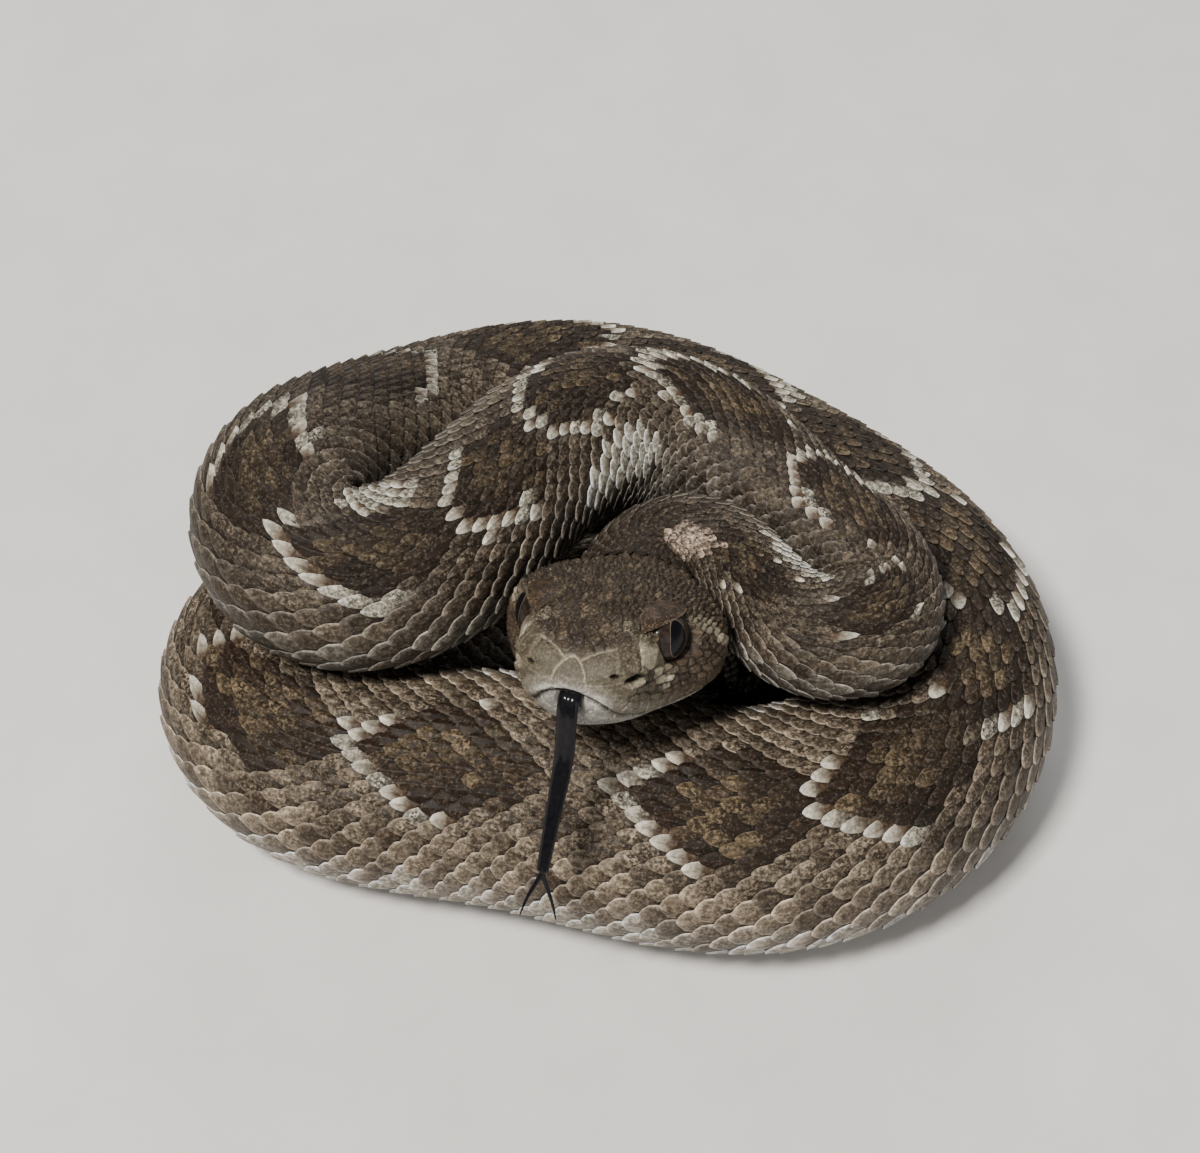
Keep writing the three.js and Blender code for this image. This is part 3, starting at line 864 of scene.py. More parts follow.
# One piece of many shells, from its points' places on the body
def shellPiece(name, s, phi, rise, faces, material):
    places = onBody(s.ravel(), phi.ravel(), rise.ravel())
    shift = (np.arange(len(s)) * s.shape[1])[:, None, None]
    blocks = [(block[None] + shift).reshape(-1, block.shape[1]) for block in faces]
    return newPiece(name, places, blocks, material)


# A patch of the baking map for each shell, at its distance along the body and its height
def mapShells(piece, s, height, u, v):
    home = np.stack([s / (bodyLength + 10) + 0.01, height], 1)
    spread = np.stack([v - 0.5, u * 0.5], 1) * backScales["patch"]
    setMap(piece, "OFBake", (home[:, None, :] + spread[None]).reshape(-1, 2))


def scaleOutline(v):
    settings = backScales
    rising = settings["rootWidth"] + (1 - settings["rootWidth"]) * np.sin(
        np.clip(v / settings["widest"], 0, 1) * math.pi / 2
    )
    beyond = np.clip((v - settings["widest"]) / (1 - settings["widest"]), 0, 1)
    closing = np.clip(1 - beyond ** settings["tipBend"], 0, 1) ** settings["tipRound"]
    falling = settings["tipWidth"] + (1 - settings["tipWidth"]) * closing
    return np.where(v < settings["widest"], rising, falling)


# Columns of scales down the body: each one's place and step
def scaleColumns():
    columns = []
    s = backScales["from"]
    while s < bodyLength - 1.5:
        step = backScales["stepBase"] + backScales["stepShare"] * float(girthAt(max(s, 0)))
        step *= 1 - backScales["napeShrink"] * (1 - float(smoothStep(s, 0, backScales["napeTo"])))
        columns.append((s, step))
        s += step
    return np.array(columns)


def buildCoat():
    settings = backScales
    draw = np.random.RandomState(settings["seed"])
    template, faces = shellTemplate(settings["across"], settings["along"], scaleOutline)
    middles = rowMiddles()
    rows = []
    for j in range(-settings["rows"], settings["rows"] + 1):
        for s, step in scaleColumns():
            rows.append((s + 0.5 * step * (j % 2), step, middles[j], pitchOf(j)))
    rows = np.array(rows)
    rows = rows[rows[:, 0] < bodyLength - 1.0]
    at, step, middle, pitch = rows.T
    count = len(rows)
    vary = lambda share: 1 + share * draw.uniform(-1, 1, count)
    fray = np.clip(draw.normal(0, 0.5, count), -1, 1)
    toneVary = 1 + settings["toneVary"] * np.clip(draw.normal(0, 1, count), -1.5, 1.6)
    flat = np.zeros(count)
    stretch = np.linalg.norm(onBody(at + 1, middle, flat) - onBody(at - 1, middle, flat), axis=1) / 2
    low = smoothStep(np.abs(middle), settings["lowFrom"], settings["lowTo"])
    breadth = settings["breadth"] + (settings["lowBreadth"] - settings["breadth"]) * low
    scales = {
        "at": at,
        "middle": middle,
        "long": step * settings["overlap"] * vary(settings["vary"]),
        "broad": pitch * breadth * vary(settings["vary"]),
        "low": low,
        "size": step / 3.0 * np.clip(stretch, settings["leastRise"], 1),
        "tone": markings(at + step * 0.5, middle, fray) * toneVary[:, None],
        "lift": settings["liftVary"] * draw.uniform(-1, 1, count),
    }
    ends = list(coatPieces.values())
    for name, start, end in zip(coatPieces, [-5] + ends, ends):
        chosen = (at >= start) & (at < end)
        coatPiece(name, {key: values[chosen] for key, values in scales.items()}, template, faces)


# The colours over each scale: a dark root, painted shade where the scale before it lies over it; a
# pale keel, a painted highlight; a pale rim, partly the scale's own pale edge and partly a painted
# highlight; and pale scales tan at their root. Also how far inside its rim a point lies, for the
# flecks.
def scaleShading(tone, low, v, across):
    side = np.abs(across)
    rim = np.maximum(smoothStep(side, 0.78, 1.0), smoothStep(v, 0.9, 1.0)) * smoothStep(v, 0.3, 0.5)
    keel = np.exp(-((across / backScales["keelWidth"]) ** 2)) * smoothStep(v, 0.3, 0.5)
    paleScale = smoothStep(tone.mean(1), 0.3, 0.45)[:, None]
    # Painted shade on the scale's root, which the scale before it covers
    root = 1 - smoothStep(v, 0.34, 0.66)[None]
    tan = 1 - smoothStep(v, 0.5, 1.0)[None]
    colour = tone[:, None, :] * (1 - 0.85 * root)[..., None]
    colour = mixed(colour, shades["root"], paleScale * tan)
    colour = mixed(colour, shades["root"], 0.5 * paleScale * keel[None] * (1 - rim[None]))
    # Paler keel and rim: the keel a painted highlight, the rim partly its own pale edge and partly a
    # painted highlight
    pale = rim[None] * (0.5 + 0.45 * low[:, None]) + 0.2 * keel[None] * (1 - low)[:, None] * (1 - paleScale)
    paleAndHighlight = colour * (2.2 + 0.8 * low[:, None, None]) + 0.05 + 0.03 * low[:, None, None]
    colour = mixed(colour, np.minimum(paleAndHighlight, 0.7), pale)
    inside = (1 - 0.85 * rim[None]) * (1 - 0.75 * paleScale * (1 - root)) * (1 - 0.4 * low)[:, None]
    return colour, inside


def coatPiece(name, scales, template, faces):
    settings = backScales
    low, tone = scales["low"], scales["tone"]
    count = len(low)
    column = {key: scales[key][:, None] for key in ("at", "middle", "long", "broad", "low", "size", "lift")}
    u, v, across, below = template.T
    s = column["at"] + (v[None] - settings["rootAhead"]) * column["long"]
    roundAt, roundHalf = settings["lowRoundAt"]
    rounder = settings["lowRound"] * np.exp(-(((v - roundAt) / roundHalf) ** 2))
    phi = column["middle"] + u[None] * column["broad"] * (1 + rounder[None] * column["low"])
    keel = np.exp(-((across / settings["keelWidth"]) ** 2)) * smoothStep(v, *settings["keelFrom"])
    keelRise = settings["keelHeight"] * (1 - 0.9 * column["low"]) * keel[None]
    crown = settings["crown"] * (1 - across**2)
    tip = settings["tipRaised"] + settings["lowTip"] * column["low"]
    slope = settings["rootSunk"] + (tip - settings["rootSunk"]) * v[None] ** 0.8
    edge = 0.10 * np.abs(across) ** 3 + 0.04 * smoothStep(v, 0.9, 1)
    rise = (slope + (crown - edge)[None]) * column["size"] + keelRise * column["size"] + column["lift"]
    rise = rise - settings["thick"] * (1 - 0.4 * v) * below[None] * column["size"]
    piece = shellPiece(name, s, phi, rise, faces, scaleMaterial)
    colour, inside = scaleShading(tone, low, v, across)
    # The undersides and side walls of the shells darkened: painted shade under each scale's tip
    colour = np.where(below[None, :, None] > 0, colour * 0.2, colour)
    paint(piece, "Tint", colour.reshape(-1, 3), inside.ravel())
    mapShells(piece, scales["at"], scales["middle"] / 360 + 0.5, u, v)
    place(piece)
    print("coat: %s, %d scales" % (name, count))


buildCoat()

# The belly plates: one wide plate to each column of scales, each over the root of the next
bellyPlates = {
    "across": 19,
    "along": (0, 0.3, 0.6, 0.85, 0.97, 1),
    "half": 55,
    "overlap": 1.35,
    "rootSunk": -0.55,
    "tipRaised": 0.05,
    "thick": 0.28,
    "from": 6,
    "seed": 11,
    "tipNarrows": 0.06,
    "bow": 0.8,
    "edgeDrop": 0.3,
    "rimPale": 0.3,
    # painted shade at each plate's root, which the plate before it covers
    "rootDark": 0.3,
}


def buildBelly():
    settings = bellyPlates
    across = np.linspace(-1, 1, settings["across"])
    outline = lambda v: 1 - settings["tipNarrows"] * v**4
    template, faces = shellTemplate(across, settings["along"], outline)
    u, v, across, below = template.T
    columns = scaleColumns()
    columns = columns[columns[:, 0] > settings["from"]]
    count, points = len(columns), len(template)
    draw = np.random.RandomState(settings["seed"])
    fray = np.clip(draw.normal(0, 0.5, (count, 1)), -1, 1) + 0 * u[None]
    at, step = columns[:, 0, None], columns[:, 1, None]
    s = at + (v[None] - backScales["rootAhead"]) * step * settings["overlap"]
    s = s - settings["bow"] * (1 - np.cos(u * math.pi / 2))[None]
    phi = 180 + u[None] * settings["half"] + 0 * s
    slope = settings["rootSunk"] + (settings["tipRaised"] - settings["rootSunk"]) * v
    drop = settings["edgeDrop"] * np.abs(across) ** 6
    rise = (slope - drop - settings["thick"] * below)[None] + 0 * s
    piece = shellPiece("bellyPlates", s, phi, rise, faces, bellyMaterial)
    signed = (phi + 180) % 360 - 180
    colour = markings(s.ravel(), signed.ravel(), fray.ravel()).reshape(count, points, 3)
    rim = smoothStep(v, 0.9, 1)[None, :, None]
    # Darker at each plate's root, which the plate before it covers: painted shade
    root = (1 - smoothStep(v, 0.2, 0.5))[None, :, None]
    colour = colour * (1 - settings["rootDark"] * root)
    colour = colour * (1 - settings["rimPale"] * rim) + settings["rimPale"] * rim * 0.7
    paint(piece, "Tint", colour.reshape(-1, 3))
    mapShells(piece, columns[:, 0], np.full(count, 0.98), u, v)
    place(piece)
    print("belly: %d plates" % count)


buildBelly()


# The skin: one closed surface from the snout to the tail, under the scales of the back and
# with the small scales of the head raised in it
skinShape = {
    "headAround": 360,
    "bodyAround": 72,
    "headStep": 0.19,
    "tipRings": 46,
    "headEnds": 5.4,
    "bodyStep": 1.7,
    "depth": 0.45,
    "headDepth": 0.25,
    "seed": 31,
    "toneVary": 0.32,
    # Paler rims of the head's plates and small scales, partly painted highlight, and painted shade in the
    # grooves between them
    "plateRim": 0.34,
    "cellRim": 0.2,
    "plateGroove": 0.25,
    "cellGroove": 0.72,
    "seamShare": 0.8,
    # The skin's markings darkened to these shares: painted shade in the gaps between the scales
    "napeShade": 0.4,
    "bodyShade": 0.22,
}
headScales = {
    "stretch": 0.6,  # cells are longer along the head than across it
    "groove": 0.42,
    "relief": 0.34,
    "tilt": 0.25,
    "keel": 0.2,
    "seed": 23,
    "crown": 0.66,
    "brow": 0.8,
    "snout": 1.2,
    "temple": 0.95,
    "throat": 1.9,
    "nape": 1.0,
    "plateSeeds": 0.75,
    "plateHeight": 0.55,
    "cellHeight": 0.8,
    "sunk": 0.7,
    "keelHalf": 0.16,
    "keelTo": (17, 20),
    "fadeOut": (2.5, 5),
}
mouth = {
    "corner": 3.6,
    "cornerEase": (-0.6, 1.0),
    "deep": 0.55,
    "wide": 0.24,
    "lipSwell": 0.22,
    "lipAbove": 0.9,
    "lipTall": 0.6,
    # painted shade in the mouth's groove
    "dark": 0.9,
}
tongueNotch = {"half": 1.7, "below": -0.55, "tall": 0.75, "deep": 1.3, "from": 23}
heatPit = {"at": 24.1, "out": 8.3, "up": 2.3, "radius": 0.95, "deep": 1.7, "flat": 1.7, "rim": 0.75}
nostril = {"at": 26.1, "out": 5.8, "up": 3.2, "radius": 0.36, "deep": 0.8, "flat": 1.4, "rim": 0}
eye = {"at": 15.0, "out": 9.1, "up": 4.95, "radius": 3.4, "deep": 2.3, "topShare": 0.86}
socket = {"opening": 3.0, "cup": 4.0, "sink": 0.35, "behind": 3.0, "lid": 0.2, "lidAt": 3.5, "lidHalf": 0.4}
# The edges of the holes' painted shade, of its lighter bottom and of the pale rim below
holeEdges = {"deep": (0.75, 1.75), "dark": (0.9, 1.7), "bottom": (0.15, 0.5), "rimAt": 1.45, "rimHalf": 0.4}
# The seams between the snout's smooth plates, seen from the front: points out and up on the
# left side, and how pale their lines are
seams = {
    "rostral": {
        "points": [(2.3, 0.6), (2.25, 2.0), (2.0, 3.1), (1.3, 4.1), (0.5, 4.7), (0, 4.85)],
        "pale": 0.8,
    },
    "internasal": {"points": [(1.0, 4.45), (2.3, 5.2), (3.4, 5.7), (5.0, 6.0)], "pale": 0.6},
    "nasal": {"points": [(5.0, 6.0), (5.7, 4.6), (5.9, 2.9)], "pale": 0.2},
    "upperLip": {"points": [(2.3, 1.9), (4.5, 2.0), (6.4, 2.4), (7.4, 2.6)], "pale": 0.2},
    "loreal": {"points": [(6.8, 6.0), (7.8, 4.6), (8.2, 3.4)], "pale": 0.15},
}
seamLine = {"half": 0.12, "deep": 0.12, "from": 22.5}


# Which large plate of the head a point lies in, by its place in the head's own frame, or 0.
# The plates are the snout's tip, the ones before and over the eyes' front, the upper and lower
# lips' rows and a pair under the chin. An earlier plate comes before a later one.
def plateAt(at, out, up):
    side = np.where(out >= 0, 1, 2)
    away = np.abs(out)
    over = up - sectionAt["lip"](at)
    plate = np.zeros(len(at), int)

    def give(where, number):
        free = (plate == 0) & where
        plate[free] = (number + 0 * side)[free]

    give((at > 24.3) & (over > 0) & (up < 6.3), 5)
    slanted = (up > 2 + 0.33 * (at - 18.5)) & (at < 19.9 + 1.15 * (7 - up))
    give((at > 18) & slanted & (up < 7) & (away > 5), 68 + side)
    give((at > 20) & (at < 24.6) & (up > 3.4) & (up < 7) & (away > 4.4), 72 + side)
    upperRow = 10 + np.floor((at - 3.2) / 2.35).astype(int) * 4 + side
    lowerRow = 100 + np.floor((at - 1.6) / 2.2).astype(int) * 4 + side
    give((at > 3.4) & (at < 26.2) & (over > 0) & (over < 2.25), upperRow)
    give((at > 2) & (over <= 0) & (over > -2.1), lowerRow)
    give((at > 17) & (at < 24) & (up < -5.2) & (away < 3.6), 80 + side)
    return plate


# How far apart the small scales' seeds lie
def seedSpacing(at, up, s):
    settings = headScales
    top = smoothStep(up, 2.5, 5.5)
    size = settings["temple"] + (settings["crown"] - settings["temple"]) * top
    size = size + (settings["brow"] - size) * top * smoothStep(at, 10.5, 13)
    size = size + (settings["snout"] - size) * smoothStep(at, 16.5, 20)
    size = size + (settings["throat"] - size) * smoothStep(-up, 4.4, 6)
    size = size + (settings["nape"] - size) * smoothStep(s, -5.5, -0.5)
    return size


# Chosen points that keep their spacing from each other, in a random order
def spacedSeeds(points, spacing, draw):
    kept = np.zeros((6000, 3))
    reach = np.zeros(6000)
    chosen = []
    for k in draw.permutation(len(points)):
        n = len(chosen)
        apart = ((kept[:n] - points[k]) ** 2).sum(1)
        if n == 0 or (apart > (0.5 * (reach[:n] + spacing[k])) ** 2).all():
            kept[n] = points[k]
            reach[n] = spacing[k]
            chosen.append(k)
    return np.array(chosen)


# The distance of each point from the line between two others
def lineGap(points, a, b):
    share = np.clip((points - a) @ (b - a) / ((b - a) @ (b - a)), 0, 1)
    return np.linalg.norm(points - a - share[:, None] * (b - a), axis=1)


# The distance of each point from a seam, on either side of the head
def seamGap(points, seam):
    either = np.stack([np.abs(points[:, 1]), points[:, 2]], 1)
    ends = np.array(seam["points"], float)
    return np.min([lineGap(either, a, b) for a, b in zip(ends, ends[1:])], axis=0)


# Head stations from the nape to the tip of the snout, as distances from the joint
def headStations():
    settings = skinShape
    curved = head["length"] - snout["round"]
    straight = np.arange(settings["headEnds"], -curved, -settings["headStep"])
    tip = (np.arange(settings["tipRings"]) + 0.5) / settings["tipRings"] * math.pi / 2
    return np.concatenate([straight, -(curved + snout["round"] * np.sin(tip))])


# A ring's points spread evenly round it
def evenRing(s, around):
    dense = outerRing(s, np.arange(720) * 2 * math.pi / 720)
    closed = np.vstack([dense, dense[:1]])
    length = np.concatenate([[0], np.cumsum(np.linalg.norm(np.diff(closed, axis=0), axis=1))])
    wanted = np.arange(around) / around * length[-1]
    return np.stack([np.interp(wanted, length, closed[:, k]) for k in range(3)], 1)


# The small scales as cells round seeds, large plates being one cell: the seeds, each point's
# nearest seed, and its distances from that one and from the nearest of another cell
def headCells(metric, plates, spacing):
    seeds = spacedSeeds(metric, spacing, np.random.RandomState(headScales["seed"]))
    cell = np.where(plates[seeds] > 0, plates[seeds], 1000 + np.arange(len(seeds)))
    first = np.zeros(len(metric))
    second = np.zeros(len(metric))
    nearest = np.zeros(len(metric), int)
    for start in range(0, len(metric), 4000):
        part = slice(start, start + 4000)
        gap = np.linalg.norm(metric[part, None] - metric[seeds][None], axis=2)
        best = gap.argmin(1)
        nearest[part] = best
        first[part] = gap[np.arange(len(best)), best]
        gap[cell[None] == cell[best][:, None]] = 99
        second[part] = gap.min(1)
    return seeds, nearest, first, second


# Sinks the heat pits and the nostrils into the height, with painted shade inside. Their bottoms
# are less shaded and a pale rim lies below: partly pale skin, partly a painted glint.
def carveHoles(local, height, dark, paleLine):
    edges = holeEdges
    for hole in (heatPit, nostril):
        for side in (1, -1):
            away = local - np.array([hole["at"], side * hole["out"], hole["up"]])
            near = np.linalg.norm(away * np.array([0.8, 0.8, hole["flat"]]), axis=1) / hole["radius"]
            height -= hole["deep"] * (1 - smoothStep(near, *edges["deep"]))
            # Painted shade inside the hole, less at its bottom; there and on the pale rim below, partly
            # pale skin and partly a painted glint
            bottom = 0.9 * (1 - smoothStep(near, *edges["bottom"]))
            dark += 1.2 * (1 - smoothStep(near, *edges["dark"])) - bottom
            rim = np.exp(-(((near - edges["rimAt"]) / edges["rimHalf"]) ** 2))
            under = rim * smoothStep(-away[:, 2], 0.1, 0.5) * hole["rim"]
            np.maximum(paleLine, under, out=paleLine)
            dark -= under


# Sinks the sockets of the eyes into the moved points, towards the middle of the head, and darkens
# them with painted shade
def carveSockets(local, s, moved, dark):
    left = headTurn[:, 1]
    opening = socket["opening"]
    for side in (1, -1):
        away = local - np.array([eye["at"], side * eye["out"], eye["up"]])
        beside = (away[:, 1] * side > 0) & (s < 0)
        aside = np.hypot(away[:, 0], away[:, 2] * 0.95)
        sink = socket["sink"] * (1 - smoothStep(aside, opening, socket["cup"]))
        sink += socket["behind"] * (1 - smoothStep(aside, opening - 0.1, opening + 0.35))
        sink -= socket["lid"] * np.exp(-(((aside - socket["lidAt"]) / socket["lidHalf"]) ** 2))
        moved -= (side * sink * beside)[:, None] * left[None]
        # Painted shade in the socket round the eye
        dark += beside * (1 - smoothStep(aside, opening - 0.1, opening + 0.5))


# The skin of the head with its scales, plates, seams, mouth, pits and eye sockets. Returns the
# moved points and what their colours need, among them the painted shade in its hollows.
def headRelief(rings, stations, normals):
    settings = headScales
    flat = rings.reshape(-1, 3)
    s = np.repeat(stations, rings.shape[1])
    local = toHead(flat)
    at, out, up = local.T
    plates = plateAt(at, out, up)
    spacing = np.where(plates > 0, settings["plateSeeds"], seedSpacing(at, up, s))
    metric = np.stack([at * settings["stretch"], out, up], 1)
    seeds, nearest, first, second = headCells(metric, plates, spacing)
    isPlate = plates[seeds][nearest] > 0
    ridge = smoothStep(second - first, 0, settings["groove"])
    seedAt = local[seeds][nearest][:, 0]
    tailward = np.clip((seedAt - at) / np.maximum(spacing, 0.5), -1, 1)
    acrossCell = np.sqrt(np.maximum(first**2 - (settings["stretch"] * (at - seedAt)) ** 2, 0))
    keel = np.exp(-((acrossCell / settings["keelHalf"]) ** 2)) * smoothStep(up, 2, 5) * ~isPlate
    raised = np.where(isPlate, settings["plateHeight"], settings["cellHeight"]) * ridge
    height = settings["relief"] * (raised - settings["sunk"])
    height += settings["tilt"] * tailward * ~isPlate * ridge
    height += settings["keel"] * keel * ridge * (1 - smoothStep(at, *settings["keelTo"]))
    height = height * (1 - smoothStep(s, *settings["fadeOut"]))
    over = up - sectionAt["lip"](at)
    lead, ease = mouth["cornerEase"]
    hasMouth = smoothStep(at, mouth["corner"] + lead, mouth["corner"] + ease) * (s < 0)
    line = np.exp(-((over / mouth["wide"]) ** 2)) * hasMouth
    height -= mouth["deep"] * line
    height += mouth["lipSwell"] * np.exp(-(((over - mouth["lipAbove"]) / mouth["lipTall"]) ** 2)) * hasMouth
    notch = np.exp(-((out / tongueNotch["half"]) ** 6)) * (at > tongueNotch["from"])
    notch = notch * np.exp(-(((over - tongueNotch["below"]) / tongueNotch["tall"]) ** 4))
    height -= tongueNotch["deep"] * notch
    # Painted shade in the mouth's groove and in the tongue's notch
    dark = line * mouth["dark"] + notch
    paleLine = np.zeros(len(flat))
    for seam in seams.values():
        near = np.exp(-((seamGap(local, seam) / seamLine["half"]) ** 2))
        near = near * (1 - line) * (at > seamLine["from"])
        height -= seamLine["deep"] * near
        paleLine = np.maximum(paleLine, seam["pale"] * near)
    carveHoles(local, height, dark, paleLine)
    moved = flat + normals.reshape(-1, 3) * height[:, None]
    carveSockets(local, s, moved, dark)
    dark = np.clip(dark, 0, 1)
    return moved.reshape(rings.shape), nearest, seeds, ridge, dark, local, isPlate, paleLine


# The head's colours, and the pale and dark bands of the face: each runs between two places,
# along and up the head
faceShades = {
    "crown": screen(56, 46, 34),
    "crownDark": screen(28, 21, 15),
    "brow": screen(74, 57, 41),
    "crownPale": screen(98, 85, 65),
    "face": screen(90, 84, 69),
    "pale": screen(160, 151, 128),
    "lip": screen(124, 118, 106),
    "chin": screen(140, 138, 131),
    "temple": screen(66, 54, 41),
    # The painted shade of the mouth, holes, eye sockets and the brow plates' undersides
    "hollowShade": screen(14, 10, 9),
    "seam": screen(180, 170, 144),
    "lipPale": screen(190, 187, 178),
}
faceMarks = [
    {"shade": "pale", "from": (19.4, 6.6), "to": (21.3, 3.7), "half": 1.5, "strength": 0.85},
    {"shade": "pale", "from": (18.6, 1.1), "to": (17.1, -0.6), "half": 1.35, "strength": 0.95},
    {"shade": "pale", "from": (11.6, 6.4), "to": (4.0, -0.5), "half": 0.95, "strength": 0.65},
    {"shade": "temple", "from": (14.0, 1.6), "to": (4.5, -2.6), "half": 2.0, "strength": 0.75},
    {"shade": "temple", "from": (18.9, 1.8), "to": (16.6, 3.4), "half": 1.0, "strength": 0.3},
]
snoutSpot = {"at": 22.9, "radius": 1.0}


def headColour(at, out, up, fray):
    over = up - sectionAt["lip"](at)
    front = at + 0.8 * np.maximum(np.abs(out) - 2.5, 0)
    top = smoothStep(up, 3.2, 6.2) * (1 - smoothStep(front, 24.4, 25.6))
    forward = smoothStep(at, 12, 21)
    broad = np.sin(at * 0.9 + 1.3 * np.sin(out * 0.8)) * np.sin(out * 0.75 + at * 0.35 + 1)
    mottled = np.clip(0.25 + 0.6 * fray - 0.4 * broad, 0, 0.95)
    crown = mixed(faceShades["crown"], faceShades["crownDark"], mottled)
    crown = mixed(crown, faceShades["crownPale"], np.clip(0.85 * fray * (fray > 0.25), 0, 0.8))
    smudge = 0.3 * (1 + broad) * smoothStep(over, 1.2, 3)
    side = mixed(faceShades["temple"], faceShades["face"], np.clip(forward + 0.35 * fray - smudge, 0, 1))
    colour = mixed(side, crown, top)
    spot = np.hypot(at - snoutSpot["at"], out) / snoutSpot["radius"]
    onSpot = (1 - smoothStep(spot + 0.2 * fray, 0.7, 1.2)) * top
    colour = mixed(colour, faceShades["crownDark"], 0.9 * onSpot)
    fromSide = np.stack([at, up], 1)
    for mark in faceMarks:
        gap = lineGap(fromSide, np.array(mark["from"]), np.array(mark["to"]))
        inside = 1 - smoothStep(gap + 0.25 * fray, mark["half"] * 0.8, mark["half"] * 1.15)
        inside = inside * (1 - top * 0.7) * (np.abs(out) > 3.5)
        colour = mixed(colour, faceShades[mark["shade"]], mark["strength"] * inside)
    upperLip = (1 - smoothStep(over, 1.6, 2.8)) * smoothStep(at, 12, 20)
    colour = mixed(colour, faceShades["lip"], 0.6 * upperLip)
    aroundMouth = (1 - smoothStep(over + 0.3 * fray, 0.4, 1.5)) * smoothStep(at, 24.8, 26.3)
    colour = mixed(colour, faceShades["lipPale"], 0.9 * aroundMouth)
    below = 1 - smoothStep(over, -0.9, 0.1)
    colour = mixed(colour, faceShades["chin"], 0.92 * below)
    behind = smoothStep(-at, -6, 2) * below
    return mixed(colour, shades["side"], behind * 0.5)


# A ring's angles as degrees from the ridge of the back
def skinPhi(stations, around):
    theta = np.arange(around) * 360 / around
    phi = 90 - rollAt(stations)[:, None] - theta[None]
    return ((phi + 180) % 360 - 180).ravel()


# The skin behind the head: its rings and their colours, the markings darkened as painted shade
# between the scales
def bodySkin():
    settings = skinShape
    around = settings["bodyAround"]
    s = np.append(np.arange(settings["headEnds"] + 0.8, bodyLength, settings["bodyStep"]), bodyLength)
    rings = np.array([outerRing(x, np.arange(around) * 2 * math.pi / around) for x in s])
    rings = rings - gridNormals(rings) * settings["depth"]
    rings[:, :, 2] = np.maximum(rings[:, :, 2], 0)
    tone = markings(np.repeat(s, around), skinPhi(s, around), np.zeros(len(s) * around))
    return rings, tone * settings["bodyShade"]


# The skin's faces: the head's fine rings, the body's coarse ones, the seam between them and
# the two ends. The fine rings run towards the snout and the coarse ones towards the tail, so
# the head's faces, and the fan at the tail's end, face inwards where the body's face outwards.
def skinFaces(fine, coarse):
    ratio = fine.shape[1] // coarse.shape[1]
    beside = np.roll(coarse[0], -1)
    steps = [np.roll(fine[0], -i)[::ratio] for i in range(ratio + 1)]
    quads = np.stack([beside, coarse[0], steps[0], steps[1]], 1)
    triangles = [np.stack([beside, steps[i], steps[i + 1]], 1) for i in range(1, ratio)]
    tip = fine.size + coarse.size
    ends = [fanFaces(fine[-1], tip), turned(fanFaces(coarse[-1], tip + 1))]
    return [gridFaces(fine), gridFaces(coarse), quads, np.stack(triangles, 1).reshape(-1, 3), *ends]


def buildSkin():
    settings = skinShape
    around = settings["headAround"]
    draw = np.random.RandomState(settings["seed"])
    stations = headStations()
    rings = np.array([evenRing(s, around) for s in stations])
    normals = gridNormals(rings)
    ease = smoothStep(stations, -1, 4)
    sunk = settings["headDepth"] + (settings["depth"] - settings["headDepth"]) * ease
    rings = rings - normals * sunk[:, None, None]
    rings, nearest, seeds, ridge, dark, local, isPlate, paleLine = headRelief(rings, stations, normals)
    tone = headColour(*local[seeds].T, np.clip(draw.normal(0, 0.5, len(seeds)), -1, 1))
    vary = settings["toneVary"] * np.clip(draw.normal(0, 1, len(seeds)), -1.5, 1.7)
    tone *= (1 + vary * ~isPlate[seeds])[:, None]
    colour = tone[nearest]
    smooth = headColour(*local.T, np.zeros(len(local)))
    colour = np.where(isPlate[:, None], 0.75 * smooth + 0.25 * colour, colour)
    # Painted shade in the grooves between the cells; their rims paler, partly their own pale edges and
    # partly painted highlight
    rim = smoothStep(ridge, 0.35, 0.6) * (1 - smoothStep(ridge, 0.6, 0.95))
    rimPaleAndHighlight = np.where(isPlate, settings["plateRim"], settings["cellRim"]) * rim
    groove = np.where(isPlate, settings["plateGroove"], settings["cellGroove"])
    colour = colour * (1 - groove * (1 - ridge))[:, None] + rimPaleAndHighlight[:, None] * (colour * 2 + 0.05)
    colour = mixed(colour, faceShades["seam"], settings["seamShare"] * paleLine)
    # Painted shade in the mouth, tongue notch, pits, nostrils and eye sockets
    colour = mixed(colour, faceShades["hollowShade"], dark)
    s = np.repeat(stations, around)
    # At the nape the skin takes the darkened markings too: painted shade between the scales
    nape = markings(s, skinPhi(stations, around), 0 * s) * settings["napeShade"]
    colour = mixed(colour, nape, smoothStep(s, 1.5, 4.5))
    flecked = 0.5 + 0.5 * smoothStep(local[:, 2], 4.5, 7)
    body, bodyColour = bodySkin()
    fine = np.arange(len(colour)).reshape(-1, around)
    coarse = np.arange(len(bodyColour)).reshape(-1, settings["bodyAround"]) + fine.size
    ends = [rings[-1].mean(0)[None], body[-1].mean(0)[None]]
    points = np.concatenate([rings.reshape(-1, 3), body.reshape(-1, 3), *ends])
    piece = newPiece("skin", points, skinFaces(fine, coarse), skinMaterial)
    colours = np.concatenate([colour, bodyColour, colour[-1:], bodyColour[-1:]])
    flecks = np.concatenate([flecked, np.ones(len(bodyColour)), [0.4, 1]])
    paint(piece, "Tint", colours, flecks)
    apart = ("eye_left", "eye_right", "tongue", "rattle")
    place(piece, [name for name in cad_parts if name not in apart])
    print("skin: %d points, %d small scales on the head" % (len(colours), len(seeds)))


buildSkin()


